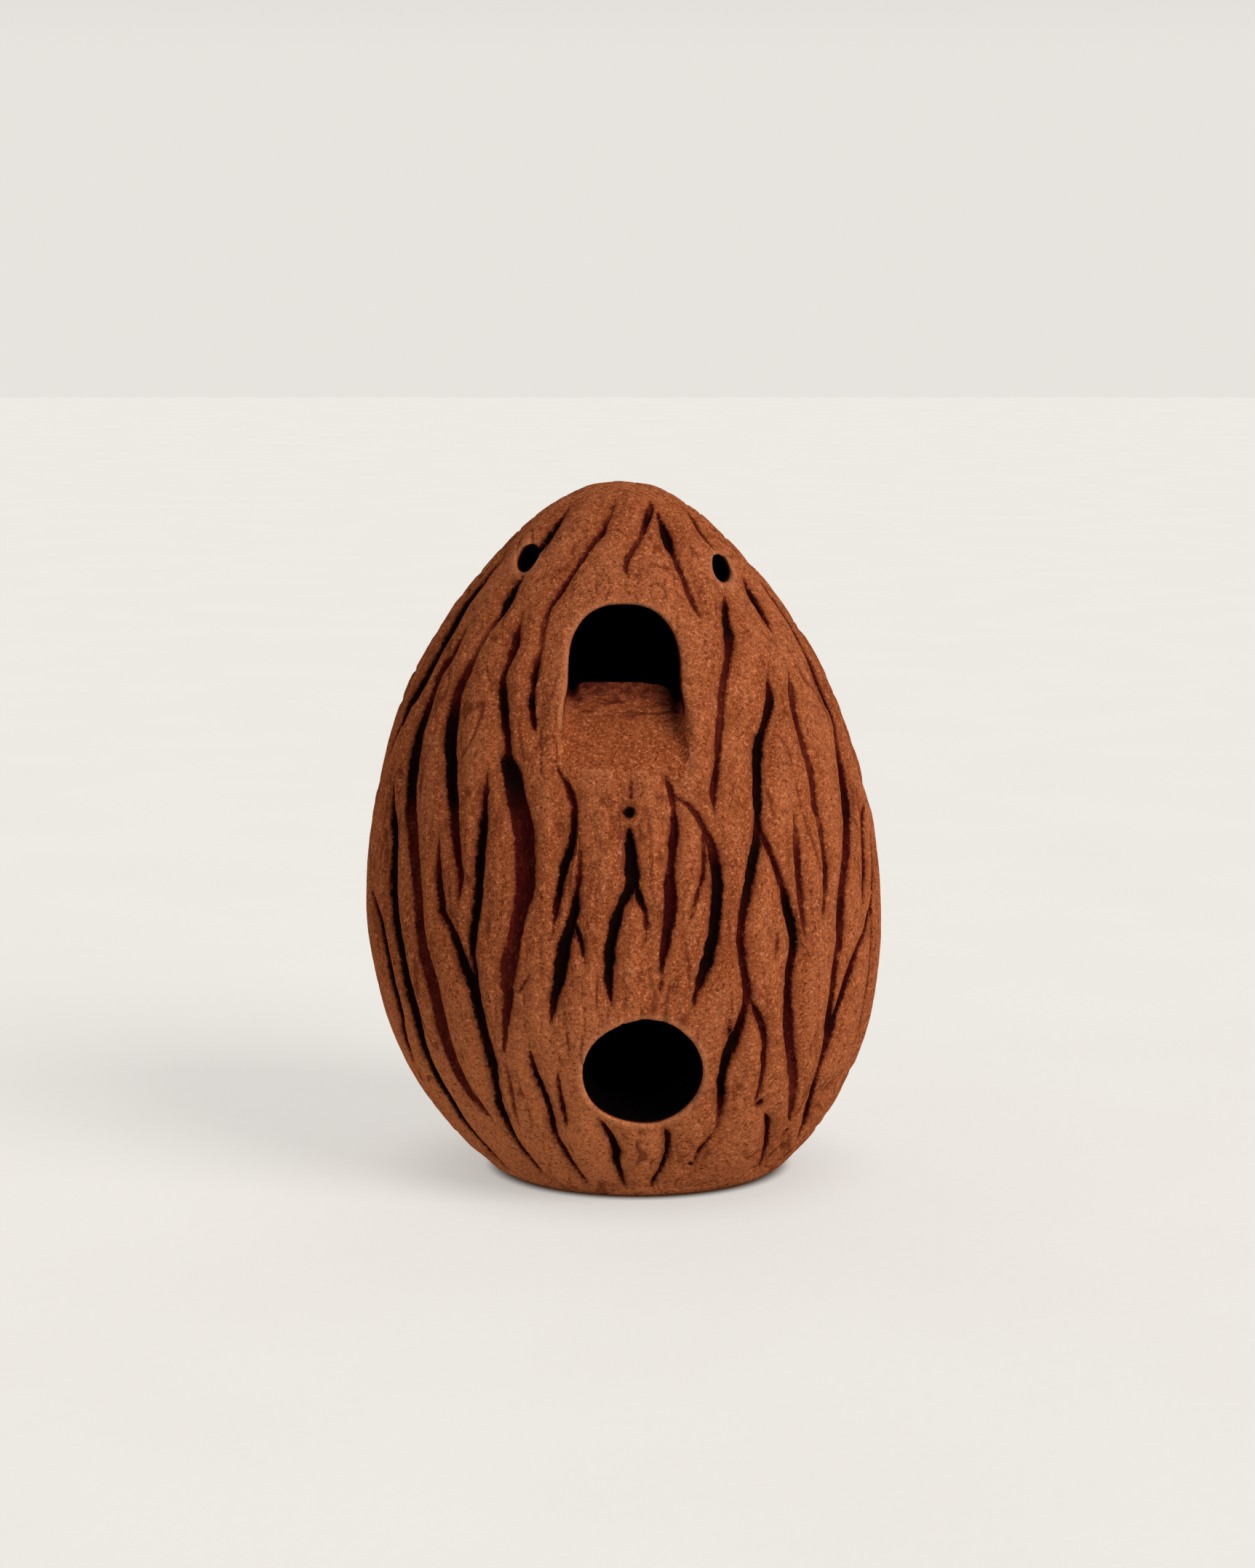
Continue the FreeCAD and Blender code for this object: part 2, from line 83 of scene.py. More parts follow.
# Carved grooves of the front, drawn as (azimuth in degrees from -Y towards +X, height, width, depth of the stain)
GROOVES = [
    [(-46.6, 65.1, 0.42, 0.60), (-44.1, 63.0, 0.90, 1.00), (-44.8, 60.8, 1.01, 1.00)],
    [(-45.2, 59.0, 0.61, 0.80), (-45.7, 57.8, 1.03, 1.00), (-45.6, 56.5, 0.93, 1.00), (-45.5, 55.6, 0.62, 0.70), (-46.5, 54.5, 0.73, 0.30), (-47.6, 52.2, 0.86, 0.30), (-49.2, 49.4, 1.34, 0.55),
     (-49.5, 48.1, 1.35, 0.60), (-49.1, 46.8, 1.56, 0.85), (-48.0, 45.1, 1.74, 0.90), (-46.5, 43.5, 1.47, 1.00), (-42.8, 39.2, 1.17, 1.00), (-41.7, 38.1, 1.24, 0.70), (-38.2, 32.9, 0.90, 0.65),
     (-37.6, 31.6, 0.71, 0.60), (-37.8, 29.2, 0.36, 0.20)],
    [(-4.9, 66.2, 0.43, 0.15), (-6.0, 65.0, 0.57, 0.30), (-8.9, 64.0, 0.50, 0.45), (-9.7, 63.3, 0.64, 0.62), (-15.7, 61.7, 0.58, 0.50), (-24.5, 57.3, 0.69, 0.60), (-25.6, 56.4, 0.62, 0.45),
     (-25.8, 55.3, 0.69, 0.30), (-24.5, 53.1, 0.68, 0.25), (-24.8, 52.2, 0.68, 0.35), (-24.8, 51.4, 0.61, 0.70), (-24.6, 50.3, 0.68, 0.75), (-24.2, 49.3, 0.60, 0.60), (-24.1, 48.5, 0.75, 0.95),
     (-23.4, 47.6, 0.60, 0.70), (-22.7, 46.6, 0.67, 0.65), (-21.3, 45.2, 0.29, 0.20)],
    [(-35.4, 55.9, 0.35, 0.30), (-34.8, 53.9, 0.86, 0.60), (-33.8, 53.0, 0.93, 0.60), (-34.4, 51.1, 0.68, 0.60), (-34.3, 50.1, 0.68, 0.50), (-33.9, 49.3, 0.84, 0.80), (-31.3, 46.9, 0.98, 0.80),
     (-28.9, 44.4, 0.71, 0.60), (-28.3, 43.6, 0.78, 0.65), (-28.1, 42.7, 1.40, 0.95), (-26.7, 41.7, 1.69, 0.90), (-23.0, 37.7, 2.14, 0.62), (-22.0, 36.1, 2.05, 0.62), (-21.3, 32.8, 2.03, 0.62),
     (-21.6, 31.2, 1.89, 0.62), (-23.4, 27.5, 1.33, 0.55), (-25.0, 24.7, 1.80, 0.50), (-26.2, 22.2, 1.37, 0.50), (-26.3, 20.8, 1.07, 0.55), (-29.5, 15.4, 0.47, 0.35)],
    [(-29.6, 14.3, 0.32, 0.20), (-30.0, 12.4, 0.48, 0.30), (-32.2, 7.6, 0.41, 0.20)],
    [(-69.4, 60.4, 0.67, 0.30), (-71.7, 58.6, 1.01, 0.60), (-71.9, 57.9, 1.35, 0.90), (-73.0, 55.9, 1.68, 1.00), (-70.3, 53.5, 1.51, 1.00), (-70.8, 51.3, 1.51, 1.00), (-71.0, 50.3, 1.67, 1.00),
     (-73.0, 47.9, 1.68, 1.00), (-75.4, 46.7, 1.51, 0.90), (-76.5, 45.4, 1.51, 0.90), (-77.3, 44.3, 1.01, 0.70), (-78.8, 43.0, 0.84, 0.60), (-78.9, 41.6, 0.67, 0.40)],
    [(-59.1, 54.0, 0.88, 0.20), (-59.6, 51.8, 0.90, 0.55), (-60.7, 50.9, 1.26, 0.60), (-61.9, 49.9, 1.31, 0.55), (-61.6, 49.0, 1.14, 0.50), (-61.4, 45.7, 1.63, 0.85), (-61.9, 44.6, 1.66, 0.95),
     (-61.6, 43.3, 1.81, 0.95), (-60.0, 40.6, 2.02, 0.95), (-59.1, 39.3, 1.96, 0.85), (-56.1, 36.4, 1.91, 0.55), (-54.5, 34.8, 1.68, 0.55), (-51.1, 29.9, 1.53, 0.50), (-50.1, 26.5, 1.38, 0.50),
     (-48.9, 23.1, 1.67, 0.50), (-47.4, 20.4, 1.83, 0.50), (-46.9, 14.7, 1.69, 0.50), (-45.9, 11.4, 1.65, 0.45), (-44.8, 10.2, 1.42, 0.45), (-43.1, 9.3, 1.07, 0.40), (-40.6, 7.3, 0.65, 0.20)],
    [(-69.7, 39.1, 0.67, 0.40), (-68.5, 38.1, 1.00, 0.60), (-67.1, 36.8, 1.16, 0.80), (-65.2, 35.6, 1.49, 1.00), (-62.7, 33.7, 1.48, 1.00), (-60.9, 27.6, 1.46, 0.95), (-59.0, 23.1, 1.36, 1.00),
     (-58.4, 21.1, 1.47, 1.00), (-57.1, 17.6, 1.40, 1.00), (-57.9, 14.6, 1.29, 1.00), (-58.5, 11.6, 1.32, 1.00), (-57.4, 4.6, 1.11, 1.00), (-57.7, 2.3, 0.83, 0.80), (-57.3, 1.5, 0.68, 0.60),
     (-54.8, 1.2, 0.51, 0.50)],
    [(-76.1, 28.4, 0.67, 0.40), (-73.6, 27.3, 1.00, 0.70), (-70.6, 26.2, 1.00, 0.80), (-68.4, 24.9, 1.16, 0.90), (-67.0, 23.3, 1.16, 1.00), (-66.4, 20.1, 1.33, 1.00), (-65.7, 17.3, 1.32, 1.00),
     (-66.5, 16.1, 1.16, 0.80), (-68.5, 14.5, 1.16, 0.70), (-69.3, 13.3, 1.00, 0.70), (-69.9, 12.2, 0.83, 0.60), (-69.3, 11.1, 0.67, 0.40)],
    [(-44.7, 35.3, 0.40, 0.30), (-44.2, 32.3, 0.70, 0.60), (-43.3, 29.3, 0.98, 0.70), (-42.4, 28.1, 0.87, 0.70), (-40.9, 27.3, 0.75, 0.75), (-38.3, 25.1, 0.90, 0.90), (-35.7, 21.8, 1.20, 1.00),
     (-35.0, 20.4, 1.19, 1.00), (-34.1, 14.8, 1.18, 0.80), (-34.0, 14.0, 1.09, 1.00), (-34.4, 12.5, 0.84, 0.85), (-36.1, 9.4, 0.87, 0.95), (-36.3, 8.2, 0.87, 0.90), (-36.5, 7.0, 0.70, 0.80),
     (-36.3, 4.6, 0.52, 0.80), (-35.4, 1.7, 0.34, 0.50)],
    [(-33.1, 41.7, 0.33, 0.30), (-32.6, 36.8, 0.82, 1.00), (-32.7, 35.1, 0.91, 1.00), (-33.0, 30.1, 0.83, 1.00), (-34.4, 26.0, 0.76, 0.90), (-34.6, 24.6, 0.68, 0.80), (-34.1, 21.9, 0.67, 0.90)],
    [(-15.0, 42.4, 0.35, 0.40), (-12.3, 40.9, 0.55, 0.60), (-11.2, 39.9, 0.62, 0.65), (-10.6, 38.9, 0.61, 0.70), (-10.8, 36.3, 0.82, 0.75), (-11.5, 35.0, 0.68, 1.00), (-13.2, 32.4, 0.69, 0.95),
     (-15.3, 27.0, 0.35, 0.30)],
    [(-9.3, 36.6, 0.41, 0.30), (-9.2, 33.1, 0.47, 0.40), (-10.0, 30.8, 0.61, 0.90), (-10.4, 29.4, 0.81, 1.00), (-12.9, 26.0, 1.03, 1.00), (-14.1, 23.3, 1.10, 1.00), (-16.3, 20.0, 0.63, 0.70),
     (-16.9, 18.3, 0.28, 0.30)],
    [(-10.4, 28.6, 0.54, 0.90), (-9.0, 26.4, 0.54, 0.70), (-8.4, 24.4, 0.34, 0.30)],
    [(2.4, 41.4, 0.47, 0.30), (2.3, 39.9, 0.60, 0.42)],
    [(1.8, 37.1, 0.73, 1.00), (2.2, 33.1, 1.20, 1.00), (2.0, 32.1, 1.00, 1.00), (-0.3, 30.2, 0.80, 1.00), (-2.1, 27.8, 0.93, 1.00), (-3.2, 25.1, 0.93, 0.95), (-3.4, 22.3, 0.80, 0.85),
     (-3.0, 20.6, 0.27, 0.40)],
    [(2.5, 32.8, 0.93, 1.00), (3.7, 30.8, 0.67, 0.90), (4.8, 29.2, 0.47, 0.50), (4.4, 27.0, 0.40, 0.30), (3.4, 26.0, 0.47, 0.20)],
    [(10.6, 42.0, 0.48, 0.45), (11.6, 40.7, 0.69, 0.50), (12.0, 38.8, 0.48, 0.40), (12.0, 37.3, 0.82, 0.65), (10.6, 33.4, 0.75, 0.60), (10.2, 32.1, 1.15, 0.62), (10.1, 29.4, 1.22, 0.66),
     (8.0, 24.8, 0.81, 0.66), (7.9, 23.5, 0.54, 0.60)],
    [(7.8, 23.1, 0.40, 0.50), (7.6, 22.5, 0.67, 0.70), (7.4, 21.8, 0.40, 0.40)],
    [(12.1, 40.0, 0.55, 0.45), (15.5, 39.0, 0.70, 0.35), (18.4, 37.2, 0.71, 0.50), (20.2, 35.2, 1.01, 0.50), (20.6, 34.2, 1.15, 0.65), (21.0, 31.9, 1.01, 0.95), (19.7, 27.6, 1.00, 1.00),
     (17.4, 24.1, 1.06, 0.95), (14.9, 21.2, 0.49, 0.60), (14.4, 20.1, 0.28, 0.30)],
    [(18.2, 36.8, 0.43, 0.40), (18.1, 34.2, 0.50, 0.45), (17.8, 33.3, 0.42, 0.50), (17.0, 32.0, 0.42, 0.50), (13.9, 28.5, 0.28, 0.20)],
    [(36.1, 65.9, 0.44, 0.30), (22.2, 64.6, 0.76, 0.75), (13.0, 62.9, 0.50, 0.35), (3.7, 60.7, 0.56, 0.40), (4.1, 58.8, 0.28, 0.20)],
    [(32.3, 64.9, 0.42, 0.50), (31.2, 64.5, 0.66, 0.75), (28.9, 62.8, 0.96, 0.88), (27.7, 61.9, 0.95, 0.78), (27.8, 61.3, 0.71, 0.50), (27.8, 60.3, 0.63, 0.42), (28.4, 56.3, 0.63, 0.40),
     (28.8, 55.6, 0.40, 0.30)],
    [(28.1, 56.1, 0.39, 0.35), (30.2, 55.7, 0.40, 0.30), (32.8, 55.9, 0.33, 0.25)],
    [(67.7, 65.2, 0.68, 0.20), (57.2, 63.0, 0.67, 0.40), (56.6, 61.3, 0.53, 0.30)],
    [(43.8, 57.2, 0.49, 0.50), (42.2, 56.4, 0.86, 0.80), (40.1, 55.5, 0.83, 0.85), (38.9, 54.7, 1.09, 0.80), (37.9, 53.9, 1.07, 0.70), (33.6, 51.7, 0.75, 0.50), (29.2, 49.2, 0.79, 0.40),
     (26.2, 46.1, 0.84, 0.40), (23.4, 42.2, 0.59, 0.60), (21.8, 40.0, 0.88, 0.50), (21.6, 38.3, 0.44, 0.30)],
    [(63.1, 58.5, 0.67, 0.40), (61.5, 57.5, 1.10, 0.70), (60.6, 56.6, 1.22, 0.80), (58.7, 54.6, 1.01, 0.55), (58.0, 53.7, 0.56, 0.30)],
    [(81.2, 58.7, 0.68, 0.30), (78.8, 56.4, 1.01, 0.40), (77.1, 53.6, 1.01, 0.45), (74.8, 52.0, 1.01, 0.45), (74.2, 50.4, 1.18, 0.50), (72.7, 49.0, 1.34, 0.55), (72.7, 47.6, 1.51, 0.65),
     (73.1, 46.7, 1.51, 0.80), (73.3, 45.5, 1.17, 0.60), (71.2, 44.2, 1.00, 0.40), (69.2, 42.9, 1.00, 0.50), (66.4, 39.3, 1.83, 0.70), (65.0, 37.0, 1.99, 0.75), (59.9, 32.8, 1.39, 0.55),
     (56.2, 29.6, 1.36, 0.55), (55.1, 27.9, 1.32, 0.60), (54.1, 24.5, 1.15, 0.50), (53.1, 23.2, 0.99, 0.50), (52.5, 19.4, 0.98, 0.60), (52.7, 16.5, 1.23, 0.70), (52.7, 15.0, 1.10, 0.60)],
    [(72.0, 27.6, 0.67, 0.50), (69.2, 25.9, 1.00, 0.70), (66.2, 24.7, 0.83, 0.60), (63.2, 23.9, 0.82, 0.50), (61.5, 23.0, 0.99, 0.60), (59.7, 21.7, 1.23, 0.65), (55.9, 18.0, 1.08, 0.80),
     (55.0, 17.0, 1.18, 0.80), (54.6, 16.0, 1.43, 0.75), (53.5, 13.9, 1.13, 0.60), (53.2, 12.8, 0.75, 0.50), (53.3, 11.5, 0.62, 0.40), (54.2, 10.1, 0.89, 0.60), (56.2, 7.6, 0.95, 0.70),
     (57.8, 6.5, 0.85, 0.60), (59.0, 5.4, 0.59, 0.40), (60.8, 4.3, 0.63, 0.30)],
    [(78.5, 36.5, 0.67, 0.40), (73.6, 35.4, 1.00, 0.60), (71.3, 33.8, 0.83, 0.55), (68.7, 30.5, 1.00, 0.60), (66.8, 29.2, 0.83, 0.50), (65.6, 27.6, 0.66, 0.30)],
    [(79.2, 33.5, 0.67, 0.60), (77.4, 31.3, 0.84, 0.80), (75.5, 29.3, 0.84, 0.80), (73.4, 27.7, 0.84, 0.80), (72.1, 25.9, 0.67, 0.50), (71.8, 21.1, 0.67, 0.50), (72.3, 14.2, 0.67, 0.40),
     (72.1, 12.0, 0.67, 0.30)],
    [(46.9, 50.3, 0.42, 0.40), (45.0, 48.2, 1.01, 0.75), (41.1, 46.3, 0.94, 0.80), (39.0, 45.4, 0.72, 0.85), (37.2, 44.5, 0.97, 1.00), (36.0, 43.6, 1.04, 1.00), (34.2, 41.1, 0.92, 1.00),
     (32.6, 37.4, 0.90, 0.75), (32.1, 36.3, 1.06, 0.75), (31.2, 35.2, 0.89, 0.85), (30.0, 33.9, 0.95, 1.00), (25.8, 27.4, 0.83, 0.60), (26.0, 24.7, 0.83, 0.65), (27.0, 21.9, 1.00, 0.60),
     (27.0, 20.5, 0.84, 0.60), (26.2, 19.3, 0.68, 0.65), (24.7, 17.0, 0.97, 0.90), (23.7, 16.0, 1.04, 0.90), (22.8, 14.9, 0.88, 1.00), (22.1, 12.7, 0.73, 0.95), (22.7, 11.4, 0.74, 1.00),
     (22.8, 8.3, 0.45, 0.30), (22.0, 7.1, 0.44, 0.30), (19.2, 5.3, 0.44, 0.60), (18.4, 4.1, 0.29, 0.40)],
    [(22.6, 18.9, 0.37, 0.55), (23.7, 16.6, 0.59, 0.85)],
    [(27.4, 21.0, 0.69, 0.55), (31.3, 18.0, 0.73, 0.65), (32.2, 16.7, 0.65, 0.60), (32.7, 15.2, 0.66, 0.55), (33.1, 11.8, 0.50, 0.45), (32.2, 9.5, 0.33, 0.30)],
    [(32.8, 36.4, 0.66, 0.60), (36.8, 31.3, 0.70, 0.60), (37.9, 29.2, 0.98, 1.00), (39.5, 26.1, 1.00, 1.00), (39.2, 24.7, 1.09, 0.80), (38.1, 22.0, 0.98, 0.75), (39.2, 16.7, 1.27, 0.60),
     (44.7, 10.8, 1.21, 0.40), (48.8, 6.9, 0.55, 0.40)],
    [(42.9, 37.4, 0.58, 0.25), (42.4, 34.7, 0.96, 0.40), (42.1, 32.4, 0.77, 0.60), (41.9, 29.4, 0.86, 0.45), (42.3, 25.8, 0.58, 0.25)],
    [(56.5, 50.2, 0.68, 0.25), (54.6, 48.6, 1.02, 0.40), (51.9, 46.0, 0.95, 0.45), (51.8, 40.7, 1.07, 0.35), (50.7, 37.7, 0.81, 0.50), (51.0, 36.3, 0.94, 0.35), (50.8, 33.0, 0.70, 0.50),
     (50.9, 32.0, 0.82, 0.60), (48.0, 27.5, 0.54, 0.25)],
    [(-22.4, 17.5, 0.29, 0.25), (-22.6, 16.0, 0.29, 0.30), (-22.6, 13.8, 0.59, 0.75), (-21.2, 10.5, 0.58, 0.85), (-21.6, 7.7, 0.66, 0.75), (-21.7, 6.5, 0.52, 0.70), (-19.8, 3.1, 0.51, 0.65),
     (-18.4, 1.2, 0.29, 0.50)],
    [(-16.8, 14.0, 0.28, 0.35), (-17.3, 11.0, 0.50, 0.60), (-17.3, 9.4, 0.50, 0.60), (-17.6, 8.2, 0.29, 0.40)],
    [(-8.6, 9.2, 0.27, 0.40), (-7.6, 8.5, 0.54, 0.65), (-5.3, 5.4, 0.75, 0.90), (-5.7, 4.0, 0.61, 0.95), (-4.9, 1.1, 0.28, 0.60)],
    [(8.5, 8.1, 0.41, 0.60), (9.4, 6.8, 0.62, 0.70), (9.1, 4.3, 0.55, 0.85), (5.9, 1.7, 0.41, 0.70), (5.2, 0.8, 0.28, 0.60)],
    [(36.9, 8.7, 0.44, 0.60), (39.9, 7.2, 0.65, 0.70), (48.0, 1.9, 0.43, 0.40)],
    [(-20.4, 23.5, 0.22, 0.35), (-23.4, 21.7, 0.30, 0.40), (-24.7, 21.0, 0.22, 0.30)],
    [(63.5, 9.8, 0.66, 0.80), (61.2, 9.5, 0.65, 0.80)],
    [(77.3, 9.6, 0.50, 0.40), (75.7, 8.6, 0.67, 0.60), (73.6, 7.8, 0.67, 0.60), (73.4, 6.7, 0.67, 0.50), (70.6, 5.7, 0.50, 0.30)],
    [(50.3, 6.0, 0.46, 0.60), (49.7, 5.1, 0.45, 0.60), (48.1, 4.6, 0.33, 0.30)],
    [(50.3, 3.8, 0.46, 0.60), (49.5, 3.0, 0.45, 0.60)],
    [(34.6, 26.5, 0.42, 0.30), (34.5, 25.3, 0.59, 0.35), (33.7, 24.5, 0.42, 0.30)],
    [(26.8, 40.5, 0.38, 0.20), (25.3, 38.6, 0.38, 0.20)],
    [(2.1, 60.9, 0.35, 0.20), (2.6, 59.9, 0.35, 0.20)],
    [(-16.5, 26.3, 0.21, 0.20), (-15.5, 27.0, 0.21, 0.20)],
]
PITS = [(1.9, 38.6, 0.94, 1.00), (34.4, 9.9, 0.68, 0.70), (17.6, 3.6, 0.58, 0.55), (6.2, 22.6, 0.27, 0.20)]

# -------------------------------------------------------------------- small numeric tools
def vnoise(P, scale, seed):
    """Smooth value noise in -1..1 at points P (N, 3)."""
    rng = np.random.RandomState(seed)
    L = (rng.rand(32, 32, 32) * 2 - 1).astype(np.float32)
    q = P / scale + rng.rand(3) * 32
    i = np.floor(q).astype(np.int64)
    f = (q - i).astype(np.float32)
    f = f * f * (3 - 2 * f)
    i0, i1 = i % 32, (i + 1) % 32
    fx, fy, fz = f[:, 0], f[:, 1], f[:, 2]
    out = 0
    for ax, wx in ((i0[:, 0], 1 - fx), (i1[:, 0], fx)):
        for ay, wy in ((i0[:, 1], 1 - fy), (i1[:, 1], fy)):
            for az, wz in ((i0[:, 2], 1 - fz), (i1[:, 2], fz)):
                out = out + L[ax, ay, az] * wx * wy * wz
    return out


def sstep(a, b, x):
    t = np.clip((x - a) / (b - a), 0, 1)
    return t * t * (3 - 2 * t)


def smax(a, b, k):
    h = np.maximum(k - np.abs(a - b), 0) / k
    return np.maximum(a, b) + h * h * k * 0.25


def smin(a, b, k):
    return -smax(-a, -b, k)


def spline_profile():
    """Clamped cubic through the profile points, sampled densely from the crown to the foot rim."""
    p = np.array(PROFILE, float)
    t = np.concatenate([[0], np.cumsum(np.linalg.norm(np.diff(p, axis=0), axis=1))])
    n = len(p)
    e = np.array(PROFILE_END_DIR) / np.linalg.norm(PROFILE_END_DIR)
    A, B = np.zeros((n, n)), np.zeros((n, 2))
    A[0, 0] = A[-1, -1] = 1
    B[0], B[-1] = (1, 0), e
    for i in range(1, n - 1):
        h0, h1 = t[i] - t[i - 1], t[i + 1] - t[i]
        A[i, i - 1], A[i, i], A[i, i + 1] = h1, 2 * (h0 + h1), h0
        B[i] = 3 * (h1 * (p[i] - p[i - 1]) / h0 + h0 * (p[i + 1] - p[i]) / h1)
    m = np.linalg.solve(A, B)
    out = []
    for i in range(n - 1):
        h = t[i + 1] - t[i]
        u = np.linspace(0, 1, 40, endpoint=(i == n - 2))[:, None]
        out.append((2 * u ** 3 - 3 * u ** 2 + 1) * p[i] + (u ** 3 - 2 * u ** 2 + u) * h * m[i]
                   + (-2 * u ** 3 + 3 * u ** 2) * p[i + 1] + (u ** 3 - u ** 2) * h * m[i + 1])
    return np.concatenate(out)


PC = spline_profile()
_d = np.gradient(PC, axis=0)
_n = np.stack([-_d[:, 1], _d[:, 0]], 1)
PN = _n / np.linalg.norm(_n, axis=1)[:, None]                     # outward normals (r, z)
PS = np.concatenate([[0], np.cumsum(np.linalg.norm(np.diff(PC, axis=0), axis=1))])
S_END = PS[-1]
ZC = 28.0
PPSI = np.arctan2(PC[:, 0], PC[:, 1] - ZC)
_zo = np.argsort(PC[:, 1])


def radius(z):
    return np.interp(z, PC[_zo, 1], PC[_zo, 0])


def lean(z):
    return LEAN[0] + LEAN[1] * z + LEAN[2] * z * z + LEAN[3] * z * z * z


# signed distance to the smooth body in the (r, z) plane: the highest of its tangent planes
GR, GZ, GH = 0.0, -3.0, 0.1
_gr = np.arange(0, 31.0, GH)
_gz = np.arange(GZ, 71.0, GH)
_R, _Z = np.meshgrid(_gr, _gz, indexing="ij")
EGG = np.full(_R.shape, -1e9)
for (q, nn) in list(zip(PC[::2], PN[::2])) + [((FOOT_R, 0.0), (0.0, -1.0)),
                                                   ((FOOT_R, 0.0), (0.35 / 0.738, -0.65 / 0.738))]:
    np.maximum(EGG, nn[0] * (_R - q[0]) + nn[1] * (_Z - q[1]), out=EGG)
EGG = EGG.astype(np.float32)


def bilinear(T, a, b, wrap=False):
    n0, n1 = T.shape
    i = np.floor(a).astype(np.int64)
    j = np.floor(b).astype(np.int64)
    fa, fb = (a - i).astype(np.float32), (b - j).astype(np.float32)
    if wrap:
        i0, i1 = i % n0, (i + 1) % n0
    else:
        i0, i1 = np.clip(i, 0, n0 - 1), np.clip(i + 1, 0, n0 - 1)
    j0, j1 = np.clip(j, 0, n1 - 1), np.clip(j + 1, 0, n1 - 1)
    return (T[i0, j0] * (1 - fa) + T[i1, j0] * fa) * (1 - fb) + (T[i0, j1] * (1 - fa) + T[i1, j1] * fa) * fb


def egg_d(P):
    x = P[:, 0] - lean(P[:, 2])
    r = np.hypot(x, P[:, 1])
    return bilinear(EGG, r / GH, (P[:, 2] - GZ) / GH)


# -------------------------------------------------------------------- groove map over azimuth and meridian length
NU, NV = 2048, 1280
DU, DV = 2 * math.pi / NU, S_END / (NV - 1)
m_s = np.arange(NV) * DV
m_r = np.interp(m_s, PS, PC[:, 0])
m_z = np.interp(m_s, PS, PC[:, 1])
EDGE = np.full((NU, NV), 3.0, np.float32)       # distance outside the nearest groove's edge, negative inside
HALF = np.full((NU, NV), 0.3, np.float32)       # its half width
DARK = np.zeros((NU, NV), np.float32)           # how dark its stain is
REACH = 2.6


def s_of_z(z):
    return float(np.interp(z, PC[_zo, 1], PS[_zo]))


def stamp(points):
    """points: (azimuth rad, meridian length, width, dark), already close together."""
    for (ta, sa, wa, ka), (tb, sb, wb, kb) in zip(points, points[1:]):
        rr = max(float(np.interp((sa + sb) / 2, m_s, m_r)), 0.6)
        pad = REACH + max(wa, wb) / 2
        i0 = int(math.floor((min(ta, tb) - pad / rr) / DU))
        i1 = int(math.ceil((max(ta, tb) + pad / rr) / DU))
        if i1 - i0 >= NU:
            i0, i1 = 0, NU - 1
        j0 = max(0, int((min(sa, sb) - pad) / DV))
        j1 = min(NV - 1, int((max(sa, sb) + pad) / DV) + 1)
        if j1 <= j0:
            continue
        u = (np.arange(i0, i1 + 1) * DU - ta)[:, None] * m_r[None, j0:j1 + 1]
        v = (m_s[j0:j1 + 1] - sa)[None, :]
        du, dv = (tb - ta) * rr, sb - sa
        L = du * du + dv * dv + 1e-9
        t = np.clip((u * du + v * dv) / L, 0, 1)
        hw = (wa + (wb - wa) * t) * 0.5
        e = np.hypot(u - t * du, v - t * dv) - hw
        ii = np.arange(i0, i1 + 1) % NU
        old = EDGE[ii, j0:j1 + 1]
        new = e < old
        EDGE[ii, j0:j1 + 1] = np.where(new, e, old)
        HALF[ii, j0:j1 + 1] = np.where(new, hw, HALF[ii, j0:j1 + 1])
        DARK[ii, j0:j1 + 1] = np.where(new, ka + (kb - ka) * t, DARK[ii, j0:j1 + 1])


def smooth_line(ctrl, step=0.45):
    """Catmull-Rom through (azimuth deg, height, width, dark), as a dense line over (azimuth rad, meridian length)."""
    c = np.array([(math.radians(t), s_of_z(z), w, k) for t, z, w, k in ctrl], float)
    if len(c) == 1:
        return [tuple(c[0]), tuple(c[0] + (0, 0.02, 0, 0))]
    c = np.vstack([2 * c[0] - c[1], c, 2 * c[-1] - c[-2]])
    out = []
    for a, b, d, e in zip(c, c[1:], c[2:], c[3:]):
        rr = max(float(np.interp(b[1], m_s, m_r)), 1.0)
        n = max(1, int(math.hypot((d[0] - b[0]) * rr, d[1] - b[1]) / step))
        for t in np.arange(n) / n:
            q = 0.5 * ((2 * b) + (d - a) * t + (2 * a - 5 * b + 4 * d - e) * t * t + (3 * b - a - 3 * d + e) * t ** 3)
            lin = b + (d - b) * t
            out.append((q[0], q[1], max(0.12, 0.6 * q[2] + 0.4 * lin[2]), min(1.0, max(0.0, 0.5 * q[3] + 0.5 * lin[3]))))
    out.append(tuple(c[-2]))
    n = len(out)
    res = []
    for i, (t, s, w, k) in enumerate(out):                      # pointed ends
        end = min(i, n - 1 - i) * step
        res.append((t, s, w * min(1.0, 0.45 + 0.55 * end / 1.6), k))
    return res


